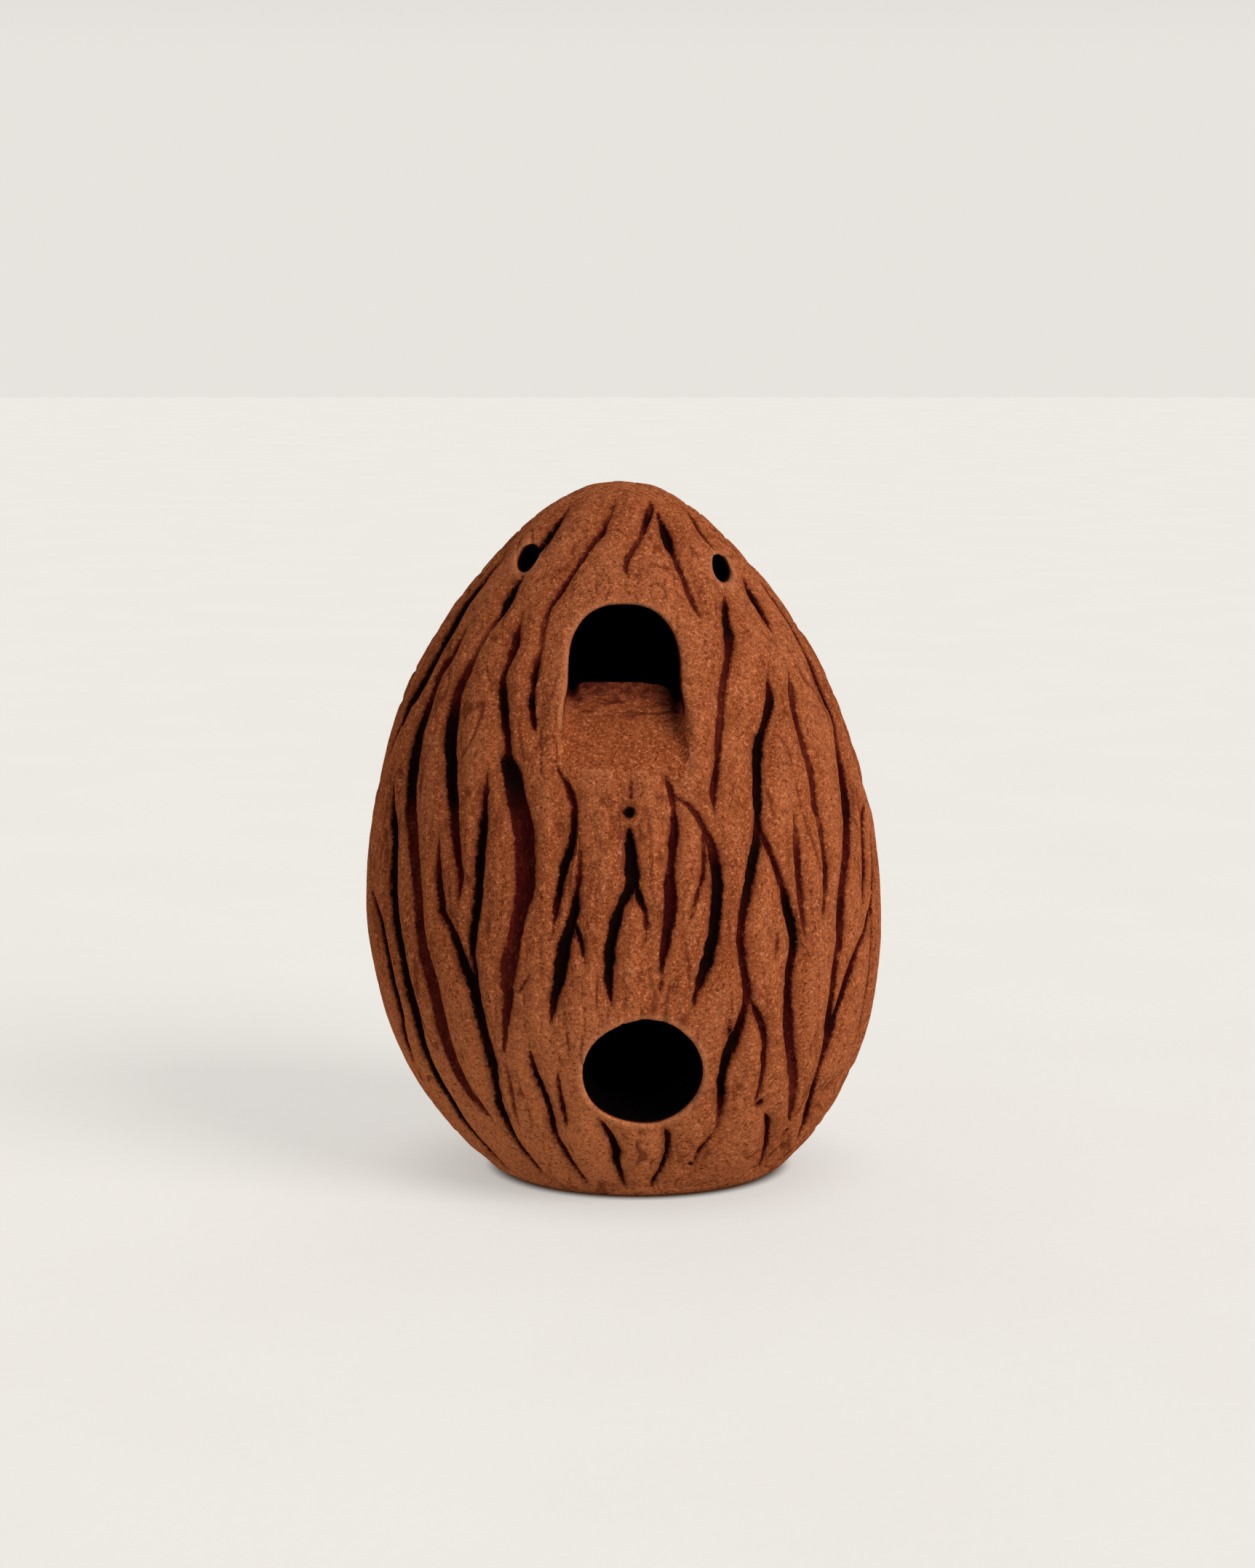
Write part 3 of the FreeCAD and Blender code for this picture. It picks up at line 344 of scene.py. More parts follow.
def rear_grooves():
    """The same kind of carving on the sides and back, with the lines parting round the finger holes like grain."""
    rng = np.random.RandomState(41)
    lines = []
    holes = [(180.0 - az, z, d / 2) for d, z, az, tilt in FINGERS]
    az_list = np.linspace(87.0, 273.0, 21)
    for n, az0 in enumerate(az_list):
        ph = rng.rand(4) * 6.283
        am = rng.uniform(0.7, 1.6, 4)
        top = 66.2 - rng.rand() * 1.5 if n % 2 == 0 else 59.0 - rng.rand() * 4.0
        z = top
        first = True
        while z > 3.0:
            length = rng.uniform(9, 27) if not first else rng.uniform(6, 16)
            first = False
            z1 = max(z - length, 1.6)
            if z - z1 > 3.0:
                wide = rng.choice([0.55, 0.75, 1.0, 1.5], p=[0.3, 0.34, 0.24, 0.12])
                dark = rng.choice([0.4, 0.58, 0.68, 1.0], p=[0.14, 0.26, 0.22, 0.38])
                drift = rng.uniform(-1.6, 1.6)
                m = max(4, int((z - z1) / 2.2))
                pts = []
                for q in range(m + 1):
                    f = q / m
                    zz = z + (z1 - z) * f
                    az = az0 + drift * (f - 0.5) * 2
                    wob = am[0] * math.sin(zz / 5.1 + ph[0]) * 1.5 + am[1] * math.sin(zz / 9.7 + ph[1]) * 1.7 + am[2] * math.sin(zz / 2.6 + ph[2]) * 0.5
                    az += wob
                    body = math.sin(math.pi * min(1.0, max(0.0, f * 0.92 + 0.04))) ** 0.55
                    w = wide * (0.42 + 0.58 * body) * (1 + 0.22 * math.sin(zz / 1.9 + ph[3]))
                    k = dark * (0.72 + 0.28 * body)
                    pts.append([az, zz, w, k])
                for p in pts:                                   # part round the holes
                    for ha, hz, hr in holes:
                        r = float(radius(p[1]))
                        u = math.radians(p[0] - ha) * r
                        v = p[1] - hz
                        a = hr + 1.5
                        g = math.exp(-(v / (hr * 1.15)) ** 2)
                        u2 = math.copysign(math.sqrt(u * u + a * a * g), u if abs(u) > 1e-6 else 1.0)
                        p[0] = ha + math.degrees(u2 / r)
                lines.append([tuple(p) for p in pts])
                if length > 12 and rng.rand() < 0.5:            # a fork that leaves the line partway down
                    j = rng.randint(1, max(2, len(pts) - 3))
                    side = rng.choice([-1, 1])
                    b = pts[j]
                    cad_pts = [(b[0], b[1], b[2] * 0.7, b[3])]
                    for q in range(1, 4):
                        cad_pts.append((b[0] + side * (1.9 * q - 0.16 * q * q), b[1] - 2.3 * q, b[2] * (0.68 - 0.12 * q), b[3] * (0.95 - 0.12 * q)))
                    lines.append(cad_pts)
            z = z1 - rng.uniform(1.2, 4.2)
    return lines


ALL = [[(t, z, w * (1.17 if k > 0.85 else 1.04), k) for t, z, w, k in g] for g in list(GROOVES) + rear_grooves()]
for g in ALL:
    stamp(smooth_line(g))
for t, z, w, k in PITS:
    s = s_of_z(z)
    w = w * 1.25
    stamp([(math.radians(t), s - 0.01, w, k), (math.radians(t), s + 0.01, w, k)])

_U, _V = np.meshgrid(np.arange(NU) * DU, np.arange(NV), indexing="ij")
m_P = np.stack([np.sin(_U) * m_r[_V] + lean(m_z[_V]), -np.cos(_U) * m_r[_V], m_z[_V]], -1).reshape(-1, 3)
n1 = vnoise(m_P, 1.05, 3).reshape(NU, NV)
n2 = vnoise(m_P, 0.42, 4).reshape(NU, NV)
n3 = vnoise(m_P * np.array([1, 1, 0.45]), 3.4, 5).reshape(NU, NV)
n4 = vnoise(m_P * np.array([1, 1, 0.30]), 1.5, 6).reshape(NU, NV)
EDGE += np.where(EDGE < 2.5, 0.095 * n1 + 0.065 * n2, 0)
q_in = np.clip(-EDGE / np.maximum(HALF, 0.16), 0, 1)
amount = np.clip(0.25 + 0.95 * DARK, 0.3, 1.0)
depth = (0.34 + 0.48 * np.minimum(HALF, 0.9)) * amount
carve = depth * (1 - (1 - q_in) ** 2)
out_e = np.maximum(EDGE, 0)
near = amount * (0.10 * np.exp(-(out_e / 0.26) ** 2) + 0.36 * np.exp(-(out_e / 1.15) ** 2))
n5 = vnoise(m_P * np.array([1, 1, 0.17]), 1.25, 7).reshape(NU, NV)
n6 = vnoise(m_P * np.array([1, 1, 0.45]), 4.6, 8).reshape(NU, NV)
n7 = vnoise(m_P * np.array([1, 1, 0.14]), 2.3, 9).reshape(NU, NV)
FAINT = (np.exp(-(n5 / 0.15) ** 2) * sstep(-0.25, 0.35, n6) + 0.8 * np.exp(-((n7 - 0.1) / 0.09) ** 2) * sstep(-0.1, 0.4, -n6)).astype(np.float32)
FAINT = np.clip(FAINT, 0, 1) * sstep(0.1, 0.5, np.maximum(EDGE, 0)).astype(np.float32)
LIFT = -0.28
RELIEF = carve + near + 0.090 * (n3 + 1) + 0.075 * (n4 + 1) + 0.020 * (n2 + 1) + 0.15 * FAINT
apex = 0.04 * np.exp(-(((m_P[:, 0] - 0.9) / 2.2) ** 2 + (m_P[:, 1] / 3.0) ** 2)).reshape(NU, NV) * (m_z[None, :] > 60)
fade = sstep(0.0, 1.3, S_END - m_s) * sstep(0.0, 1.2, m_s + 0.4)
RELIEF = (LIFT * np.minimum(1.0, 0.25 + fade[None, :]) + RELIEF * fade[None, :] + apex).astype(np.float32)
CREST = sstep(0.16, -0.10, RELIEF).astype(np.float32)
EDGE = EDGE.astype(np.float32)
DARK = (DARK * sstep(0.1, 1.6, S_END - m_s)[None, :]).astype(np.float32)
print("map", round(time.time() - T0, 1))


def map_uv(P):
    x = P[:, 0] - lean(P[:, 2])
    r = np.hypot(x, P[:, 1])
    th = np.arctan2(x, -P[:, 1])
    psi = np.arctan2(r, P[:, 2] - ZC)
    s = np.interp(psi, PPSI, PS)
    return th / DU, s / DV


def unit(v):
    v = np.array(v, float)
    return v / np.linalg.norm(v)


RD = math.radians(RAMP_DEG)
RAMP_DIR = np.array([0, -math.sin(RD), -math.cos(RD)])
RAMP_N = np.array([0, -math.cos(RD), math.sin(RD)])
WA = math.radians(WINDWAY_DEG)
BLOW = np.array([0, -math.sin(WA), -math.cos(WA)])
WN = np.array([0, -math.cos(WA), math.sin(WA)])


def rod_d(P, a, b, r, before=0.0, after=0.0):
    a, b = np.array(a, float), np.array(b, float)
    n = unit(b - a)
    a, b = a - n * before, b + n * after
    L = np.linalg.norm(b - a)
    t = (P - a) @ n
    rad = np.linalg.norm(P - a - t[:, None] * n, axis=1) - r
    return np.maximum(rad, np.maximum(-t, t - L))


def capsule_d(P, a, b, r):
    a, b = np.array(a, float), np.array(b, float)
    d = b - a
    t = np.clip(((P - a) @ d) / (d @ d), 0, 1)
    return np.linalg.norm(P - a - t[:, None] * d, axis=1) - r


def plane_through(p0, p1):
    """Outward-up side of the line p0 -> p1 in the (y, z) plane, p0 outside and low, p1 inside and high."""
    d = unit((p1[0] - p0[0], p1[1] - p0[1]))
    return np.array([-d[1], d[0]]), np.array(p0, float)


def arch_d(x, z):
    """Rough signed distance to the arch outline: an ellipse on top of straight sides that draw in a little below."""
    dx, dz = x + 0.05, z - 50.5
    a, b = 5.08, 6.1
    k = (np.abs(dx / a) ** 2.5 + (np.maximum(dz, 0) / b) ** 2.5) ** 0.4 + 1e-6
    g = np.sqrt((dx / a ** 2) ** 2 + (np.maximum(dz, 0) / b ** 2) ** 2) + 1e-6
    top = k * (k - 1) / g
    half = 5.08 + 0.42 * sstep(50.0, 47.0, z) - 0.05 * np.maximum(46.5 - z, 0) ** 1.4
    side = np.abs(dx) - half
    return np.where(dz > 0, np.clip(top, -5.4, 60), side)


def ramp_up(P):
    """Height above the scooped ramp under the window, and distance down it from the edge that splits the air."""
    x = P[:, 0]
    q = P - TIP
    along = q @ RAMP_DIR
    drop = 0.05 * np.maximum(x - 1.0, 0) ** 1.6 + 0.012 * np.maximum(-x - 2.5, 0) ** 2
    # a deeper cut along the right wall that runs out down the ramp, and a short nick at the left corner
    drop = drop + 1.05 * np.exp(-((x - 4.95 - 0.04 * along) / (0.66 - 0.04 * np.clip(along, 0, 7))) ** 2) * (1 - sstep(0.2, 5.6, along))
    drop = drop + 0.60 * np.exp(-((x + 5.0) / 0.60) ** 2) * (1 - sstep(0.4, 3.4, along))
    drop = drop + 0.55 * np.sin(math.pi * np.clip(along / 11.8, 0, 1)) ** 1.2
    marks = 0.12 * np.sin(along * 6.6 + 0.55 * x + 0.9 * np.sin(x * 0.9)) * np.exp(-((along - 2.7) / 1.5) ** 2) * sstep(4.6, 3.2, np.abs(x))
    dish = 0.010 * x * x
    return q @ RAMP_N + drop + marks - dish * sstep(0.3, 2.5, along), along


def pocket_d(P):
    """Sound window and the scooped ramp under it: negative in the open space."""
    x, y, z = P[:, 0], P[:, 1], P[:, 2]
    w = arch_d(x, z)
    up, along = ramp_up(P)
    g = smax(w, -up, 0.9)
    behind = np.maximum(np.maximum(TIP[1] + 0.02 - y, 44.0 - z), np.maximum(w, y + 6.0))
    g = np.maximum(g, y + 6.0)
    return smin(g, np.maximum(behind, z - 60.0), 0.22)


def windway_d(P):
    q = P - TIP
    t = -(q @ BLOW)
    h = q @ WN
    ax, ah = np.abs(P[:, 0]) - 4.25 + 0.25, np.abs(h) - 0.7 + 0.25
    box = np.hypot(np.maximum(ax, 0), np.maximum(ah, 0)) + np.minimum(np.maximum(ax, ah), 0) - 0.25
    return np.maximum(box, np.maximum(6.5 - t, t - 60))


def thumb_axis():
    a, t = math.radians(THUMB_AZ), math.radians(THUMB_TILT)
    return np.array([math.sin(a) * math.cos(t), -math.cos(a) * math.cos(t), math.sin(t)])


def finger_axis(f):
    d, z, az, tilt = f
    a, t = math.radians(az), math.radians(tilt)
    n = np.array([math.sin(a) * math.cos(t), math.cos(a) * math.cos(t), math.sin(t)])
    r = float(radius(z))
    return np.array([lean(z) + r * math.sin(a), r * math.cos(a), z]), n


def solid_d(P, want=False):
    """The carved solid body without its chamber: negative in the clay. With want, the distances to the hollows too."""
    P = np.asarray(P, np.float64)
    e = egg_d(P)
    F = e.astype(np.float64).copy()
    m = (e > -2.2) & (e < 2.5)
    if m.any():
        a, b = map_uv(P[m])
        F[m] += bilinear(RELIEF, a, b, wrap=True)
    holes = np.full(len(P), 9.0)
    pock = np.full(len(P), 9.0)
    x, y, z = P[:, 0], P[:, 1], P[:, 2]

    m = (y < -5.0) & (np.abs(x) < 8.2) & (z > 38.0) & (z < 60.0)
    if m.any():
        g = pocket_d(P[m])
        pock[m] = g
        k = 0.85 + 1.15 * (1 - sstep(42.5, 48.0, z[m])) + 0.8 * sstep(1.0, 4.5, x[m]) * sstep(56.0, 52.0, z[m])
        F[m] = smax(F[m], -g, k)
    m = (np.abs(x) < 6) & (y > -13) & (y < 9) & (z > 52)
    if m.any():
        g = windway_d(P[m])
        holes[m] = np.minimum(holes[m], g)
        F[m] = smax(F[m], -g, 0.45)
    n = thumb_axis()
    q = P - THUMB_P
    m = (y < -12) & (np.linalg.norm(q, axis=1) < 16)
    if m.any():
        t = q[m] @ n
        rad = np.linalg.norm(q[m] - t[:, None] * n, axis=1)
        ang = np.arctan2(q[m][:, 0], q[m][:, 2])
        g = np.maximum(rad - THUMB_R - 0.06 * np.sin(3 * ang + 1.0) - 0.04 * np.sin(5 * ang), -9.5 - t)
        holes[m] = np.minimum(holes[m], g)
        F[m] = smax(F[m], -g, 0.5)
    for f in FINGERS:
        c, n = finger_axis(f)
        q = P - c
        m = (y > 10) & (np.linalg.norm(q, axis=1) < 14)
        if m.any():
            t = q[m] @ n
            rad = np.linalg.norm(q[m] - t[:, None] * n, axis=1)
            ang = np.arctan2(q[m][:, 0], q[m][:, 2])
            g = np.maximum(rad - f[0] / 2 - 0.05 * np.sin(3 * ang + f[1]) - 0.03 * np.sin(5 * ang), -9.0 - t)
            holes[m] = np.minimum(holes[m], g)
            F[m] = smax(F[m], -g, 0.6)
    m = (z > 54) & (z < 66) & (y > -17) & (y < 4.5)
    if m.any():
        Q = P[m]
        g = np.minimum(rod_d(Q, CORD_L[0], CORD_L[1], CORD_LR, 6, 0), rod_d(Q, CORD_R[0], CORD_R[1], CORD_RR, 6, 0))
        g = smin(g, capsule_d(Q, np.array(CORD_L[1]), np.array(CORD_R[1]), 1.9), 0.4)
        holes[m] = np.minimum(holes[m], g)
        F[m] = smax(F[m], -g, 0.3)
    if want:
        return F, e, holes, pock
    return F


def grad(P, eps=0.04):
    g = np.empty((len(P), 3))
    for i in range(3):
        d = np.zeros(3)
        d[i] = eps
        g[:, i] = (solid_d(P + d) - solid_d(P - d)) / (2 * eps)
    return g


def fine_solid():
    """Quads on the surface of the carved solid."""
    lo = np.array([-25.7, -25.7, -0.8])
    hi = np.array([25.7, 25.7, 68.0])
    n = np.ceil((hi - lo) / VOXEL).astype(int) + 1
    ax = [lo[i] + np.arange(n[i]) * VOXEL for i in range(3)]
    F = np.empty(tuple(n), np.float32)
    for k0 in range(0, n[2], 32):                               # slabs, to keep memory small
        zz = ax[2][k0:k0 + 32]
        X, Y, Z = np.meshgrid(ax[0], ax[1], zz, indexing="ij")
        P = np.stack([X.ravel(), Y.ravel(), Z.ravel()], 1)
        e = egg_d(P)
        near = np.abs(e) < 1.7
        x, y, z = P[:, 0], P[:, 1], P[:, 2]
        feat = (e < 1.2) & (((y < -5) & (np.abs(x) < 8.2) & (z > 38) & (z < 60)) | ((np.abs(x) < 6) & (y > -13) & (y < 9) & (z > 52))
                            | ((z > 54) & (z < 66) & (y > -17) & (y < 4.5)))
        q = P - THUMB_P
        feat |= (e < 1.2) & (y < -12) & ((q * q).sum(1) < 256)
        for f in FINGERS:
            c, _a = finger_axis(f)
            q = P - c
            feat |= (e < 1.2) & (y > 10) & ((q * q).sum(1) < 196)
        m = near | feat
        v = np.clip(e, -1.5, 1.5)
        v[m] = np.clip(solid_d(P[m]), -1.5, 1.5)
        F[:, :, k0:k0 + len(zz)] = v.reshape(X.shape)
    g = openvdb.FloatGrid(1.5)
    g.copyFromArray(F)
    pts, quads = g.convertToQuads(0.0)
    V = pts.astype(np.float64) * VOXEL + lo
    for it in range(3):
        f = solid_d(V)
        gr = grad(V, 0.06)
        L = (gr * gr).sum(1) + 1e-6
        stepv = -(f / L)[:, None] * gr
        ln = np.linalg.norm(stepv, axis=1)
        lim = 0.45 * VOXEL
        stepv *= np.minimum(1, lim / np.maximum(ln, 1e-9))[:, None]
        V += stepv * (0.9 if it < 2 else 0.7)
    V[:, 2] = np.maximum(V[:, 2], 0.0)
    return V, quads.astype(np.int64)

# -------------------------------------------------------------------- Blender meshes
MM = 0.001


def mesh_object(name, verts_mm, faces):
    me = bpy.data.meshes.new(name)
    v = (np.asarray(verts_mm) * MM).astype(np.float32)
    f = np.asarray(faces)
    n, k = f.shape
    me.vertices.add(len(v))
    me.vertices.foreach_set("co", v.ravel())
    me.loops.add(n * k)
    me.loops.foreach_set("vertex_index", f.astype(np.int32).ravel())
    me.polygons.add(n)
    me.polygons.foreach_set("loop_start", (np.arange(n) * k).astype(np.int32))
    me.update(calc_edges=True)
    me.validate()
    o = bpy.data.objects.new(name, me)
    bpy.context.scene.collection.objects.link(o)
    return o


def block(name, x0, x1, y0, y1, z0, z1, rot=None, at=None):
    c = np.array([(x, y, z) for z in (z0, z1) for y in (y0, y1) for x in (x0, x1)], float)
    f = [(0, 2, 3, 1), (4, 5, 7, 6), (0, 1, 5, 4), (2, 6, 7, 3), (0, 4, 6, 2), (1, 3, 7, 5)]
    if rot is not None:
        c = c @ rot.T + at
    return mesh_object(name, c, f)


def boolean(o, cutter, op, name):
    m = o.modifiers.new("cut", "BOOLEAN")
    m.solver = "MANIFOLD"
    m.operation = op
    m.object = cutter
    bpy.context.view_layer.update()
    dg = bpy.context.evaluated_depsgraph_get()
    me = bpy.data.meshes.new_from_object(o.evaluated_get(dg))
    o.modifiers.remove(m)
    me.name = name
    r = bpy.data.objects.new(name, me)
    bpy.context.scene.collection.objects.link(r)
    return r


def drop(*objs):
    for o in objs:
        me = o.data
        bpy.data.objects.remove(o)
        bpy.data.meshes.remove(me)


def chamber_profile():
    q = PC - PN * WALL
    k = (q[:, 1] > FLOOR_Z) & (q[:, 1] < CEIL_Z)
    zz = np.linspace(CEIL_Z, FLOOR_Z, 56)
    o = np.argsort(q[:, 1])
    return np.interp(zz, q[o, 1], q[o, 0]), zz


CH_R, CH_Z = chamber_profile()


def chamber_mesh(n=120):
    a = np.arange(n) * 2 * math.pi / n
    V = [(r * math.sin(t), -r * math.cos(t), z) for r, z in zip(CH_R, CH_Z) for t in a]
    V += [(0, 0, CEIL_Z), (0, 0, FLOOR_Z)]
    m = len(CH_R)
    quads = [(i * n + j, i * n + (j + 1) % n, (i + 1) * n + (j + 1) % n, (i + 1) * n + j) for i in range(m - 1) for j in range(n)]
    tris = [(q[0], q[3], q[2]) for q in quads] + [(q[0], q[2], q[1]) for q in quads]
    tris += [(m * n, j, (j + 1) % n) for j in range(n)]
    tris += [(m * n + 1, (m - 1) * n + (j + 1) % n, (m - 1) * n + j) for j in range(n)]
    return np.array(V), np.array(tris)


def signed_volume(V, F):
    if F.shape[1] == 4:
        F = np.vstack([F[:, [0, 1, 2]], F[:, [0, 2, 3]]])
    a, b, c = V[F[:, 0]], V[F[:, 1]], V[F[:, 2]]
    return float((np.cross(a, b) * c).sum() / 6)


V, Q = fine_solid()
if signed_volume(V, Q) < 0:
    Q = Q[:, ::-1]
print("solid", len(V), len(Q), round(signed_volume(V, Q)), round(time.time() - T0, 1))
body = mesh_object("body_raw", V, Q)
cv, cf = chamber_mesh()
if signed_volume(cv, cf) < 0:
    cf = cf[:, ::-1]
hollow = mesh_object("hollow_raw", cv, cf)
b_base = block("b_base", -60, 60, -60, 60, -20, FLOOR_Z)
b_mid = block("b_mid", -60, 60, -60, 60, FLOOR_Z, CEIL_Z)
b_top = block("b_top", -60, 60, -60, 60, CEIL_Z, 100)
b_front = block("b_front", -60, 60, -60, 0, -20, 100)
b_back = block("b_back", -60, 60, 0, 60, -20, 100)
yy = TIP[1:] + RAMP_DIR[1:] * 16.0
pr = [(TIP[1], TIP[2]), tuple(yy), (yy[0], 41.5), (-17.4, 41.5)]
if yy[1] < 41.5:
    kk = (TIP[2] - 41.5) / -RAMP_DIR[2]
    yy = TIP[1:] + RAMP_DIR[1:] * kk
    pr = [(TIP[1], TIP[2] + 1.2), (yy[0] - 3.0, yy[1] + 1.2), (yy[0] - 3.0, 41.5), (-17.4, 41.5), (TIP[1], TIP[2])]
pv = [(sx * 4.35, a, b) for sx in (-1, 1) for a, b in pr]
npr = len(pr)
ptri = []
for i in range(1, npr - 1):
    ptri += [(0, i, i + 1), (npr, npr + i + 1, npr + i)]
for i in range(npr):
    j = (i + 1) % npr
    ptri += [(i, npr + i, npr + j), (i, npr + j, j)]
ptri = np.array(ptri)
if signed_volume(np.array(pv), ptri) < 0:
    ptri = ptri[:, ::-1]
prism = mesh_object("prism_raw", pv, ptri)
R3 = np.column_stack([np.array([1.0, 0, 0]), np.cross(WN, [1.0, 0, 0]), WN])
zone = block("zone_raw", -5.4, 5.4, -70, 70, 0.7, 60, rot=R3, at=TIP)

base = boolean(body, b_base, "INTERSECT", "base_disc_clay")
mid0 = boolean(body, b_mid, "INTERSECT", "mid0")
mid = boolean(mid0, hollow, "DIFFERENCE", "mid")
crown = boolean(body, b_top, "INTERSECT", "crown0")
front0 = boolean(mid, b_front, "INTERSECT", "front0")
back = boolean(mid, b_back, "INTERSECT", "back_shell_clay")
front = boolean(front0, prism, "DIFFERENCE", "front_shell_clay")
front_whole = boolean(mid0, b_front, "INTERSECT", "front_whole")
ramp = boolean(front_whole, prism, "INTERSECT", "labium_ramp_clay")
roof = boolean(crown, zone, "INTERSECT", "windway_roof_clay")
blockp = boolean(crown, zone, "DIFFERENCE", "mouthpiece_block_clay")
drop(body, hollow, b_base, b_mid, b_top, b_front, b_back, prism, zone, mid0, mid, crown, front0, front_whole)
PIECES = {"base_disc": base, "back_shell": back, "front_shell": front, "labium_ramp": ramp, "windway_roof": roof, "mouthpiece_block": blockp}
print("cut", {k: len(o.data.polygons) for k, o in PIECES.items()}, round(time.time() - T0, 1))


def chamber_d(P):
    r = np.hypot(P[:, 0], P[:, 1])
    wall = r - np.interp(P[:, 2], CH_Z[::-1], CH_R[::-1])
    return np.maximum(wall, np.maximum(P[:, 2] - CEIL_Z, FLOOR_Z - P[:, 2]))


def finish_piece(o):
    """Smooth normals where the piece shows clay surface, flat ones where it is only a joint, and the stain values with
    the masks for painted shade and painted highlights.
    """
    me = o.data
    nv, nf, nl = len(me.vertices), len(me.polygons), len(me.loops)
    co = np.empty(nv * 3, np.float32)
    me.vertices.foreach_get("co", co)
    P = co.reshape(-1, 3).astype(np.float64) / MM
    F, e, holes, pock = solid_d(P, want=True)
    surf = np.abs(F) < 0.12
    G = np.zeros((nv, 3))
    if surf.any():
        G[surf] = grad(P[surf], 0.045)
    cw = chamber_d(P)
    inner = (np.abs(cw) < 0.06) & ~surf
    r = np.hypot(P[:, 0], P[:, 1]) + 1e-9
    iw = np.interp(P[:, 2] + 0.2, CH_Z[::-1], CH_R[::-1]) - np.interp(P[:, 2] - 0.2, CH_Z[::-1], CH_R[::-1])
    wn = np.stack([-P[:, 0] / r, -P[:, 1] / r, iw / 0.4], 1)
    G /= np.linalg.norm(G, axis=1)[:, None] + 1e-9
    wn /= np.linalg.norm(wn, axis=1)[:, None] + 1e-9
    fn = np.empty(nf * 3, np.float32)
    me.polygons.foreach_get("normal", fn)
    fn = fn.reshape(-1, 3)
    ls = np.empty(nf, np.int32)
    me.polygons.foreach_get("loop_start", ls)
    lt = np.empty(nf, np.int32)
    me.polygons.foreach_get("loop_total", lt)
    vi = np.empty(nl, np.int32)
    me.loops.foreach_get("vertex_index", vi)
    fidx = np.repeat(np.arange(nf), lt)
    N = fn[fidx].copy()
    g = G[vi]
    allsurf = np.logical_and.reduceat(surf[vi], ls)[fidx]
    ok = allsurf & ((g * N).sum(1) > 0.45)
    N[ok] = g[ok]
    w = wn[vi]
    ok2 = ~ok & inner[vi] & ((w * N).sum(1) > 0.8)
    N[ok2] = w[ok2]
    me.polygons.foreach_set("use_smooth", np.ones(nf, bool))
    me.normals_split_custom_set([tuple(x) for x in N.tolist()])
    a, b = map_uv(P)
    edge = bilinear(EDGE, a, b, wrap=True)
    dark = bilinear(DARK, a, b, wrap=True)
    half = bilinear(HALF, a, b, wrap=True)
    deep = np.maximum(-e, 0)
    skin = 1 - sstep(1.1, 1.7, deep)
    edge = np.where(deep > 1.4, 3.0, edge)
    # painted shade: the clay inside the holes darkens with depth, to near black
    painted_hole_shade = np.where(holes < 0.6, sstep(0.12, 0.85, deep), 0)
    x, y, z = P[:, 0], P[:, 1], P[:, 2]
    inpock = (pock < 0.6) & (e < -0.15)
    up, along = ramp_up(P)
    on_ramp = sstep(0.9, 0.2, np.abs(up)) * (along > -0.15) * (y < TIP[1] + 0.5) * (np.abs(x) < 6.2) * inpock
    # painted shade: the chamber's walls and the cut faces round it are painted fully dark, except on the ramp
    painted_hole_shade = np.where((inner | ((cw < 0.1) & (np.abs(F) > 0.02))) & (on_ramp < 0.3), 1.0, painted_hole_shade)
    # painted shade: the window's side walls darken with depth, the ramp's corners go dark, and the space behind the
    # edge is painted black
    wall_dark = sstep(0.22, 1.45, deep) * sstep(45.5, 49.0, z)
    a1 = np.maximum(along, 0)
    # painted shade: the ramp is painted darker just under the labium edge and in the window's corners
    left_c = np.exp(-((x + 5.05) / 1.35) ** 2) * (1 - sstep(0.5, 4.8, a1))
    right_c = np.exp(-((x - 5.05) / 0.95) ** 2) * (1 - sstep(0.8, 7.2, a1))
    corner = np.clip(1.15 * left_c + 1.15 * right_c, 0, 1)
    painted_ramp_shade = on_ramp * np.clip(0.92 * (1 - sstep(0.0, 4.2, a1)) + 0.18 * (1 - sstep(3.0, 8.0, a1)) + corner, 0, 1)
    hp = np.where(inpock, wall_dark * (1 - on_ramp) + np.clip(1.1 * corner - 0.50, 0, 1) * (1 - sstep(1.0, 3.4, a1)) * on_ramp, 0)
    hp = np.where((pock < 0.35) & (y > TIP[1] + 0.25), 1.0, hp)
    painted_hole_shade = np.maximum(painted_hole_shade, hp)
    tool = on_ramp * np.exp(-((along - 2.9) / 1.6) ** 2) * sstep(5.0, 4.0, np.abs(x)) * inpock
    # painted light: the lower body is painted lighter, most on the left side, standing in for bounce light from the
    # floor
    low = sstep(27.0, 9.0, P[:, 2]) * (0.12 + 0.88 * sstep(10.0, -2.0, P[:, 0]))
    crest = bilinear(CREST, a, b, wrap=True) * (deep < 0.5)
    faint = bilinear(FAINT, a, b, wrap=True) * skin * (deep < 0.9)
    soft = np.where(pock < 2.2, sstep(0.2, 2.0, pock), 1.0)
    faint = faint * soft
    # painted highlight mask: a thin ring round the rims of the holes and the window
    rim = np.exp(-((np.minimum(holes, np.where(pock < 5, pock + 0.1, 9)) - 0.25) / 0.35) ** 2) * (deep < 0.45)
    for nm, val in (("edge", edge), ("dark", dark * skin), ("half", half), ("painted_hole_shade", painted_hole_shade), ("rim", rim), ("crest", crest), ("faint", faint), ("tool", tool), ("painted_ramp_shade", painted_ramp_shade), ("low", low)):
        at = me.attributes.new(nm, "FLOAT", "POINT")
        at.data.foreach_set("value", np.ascontiguousarray(val, np.float32))


for k, o in PIECES.items():
    finish_piece(o)
print("finish", round(time.time() - T0, 1))


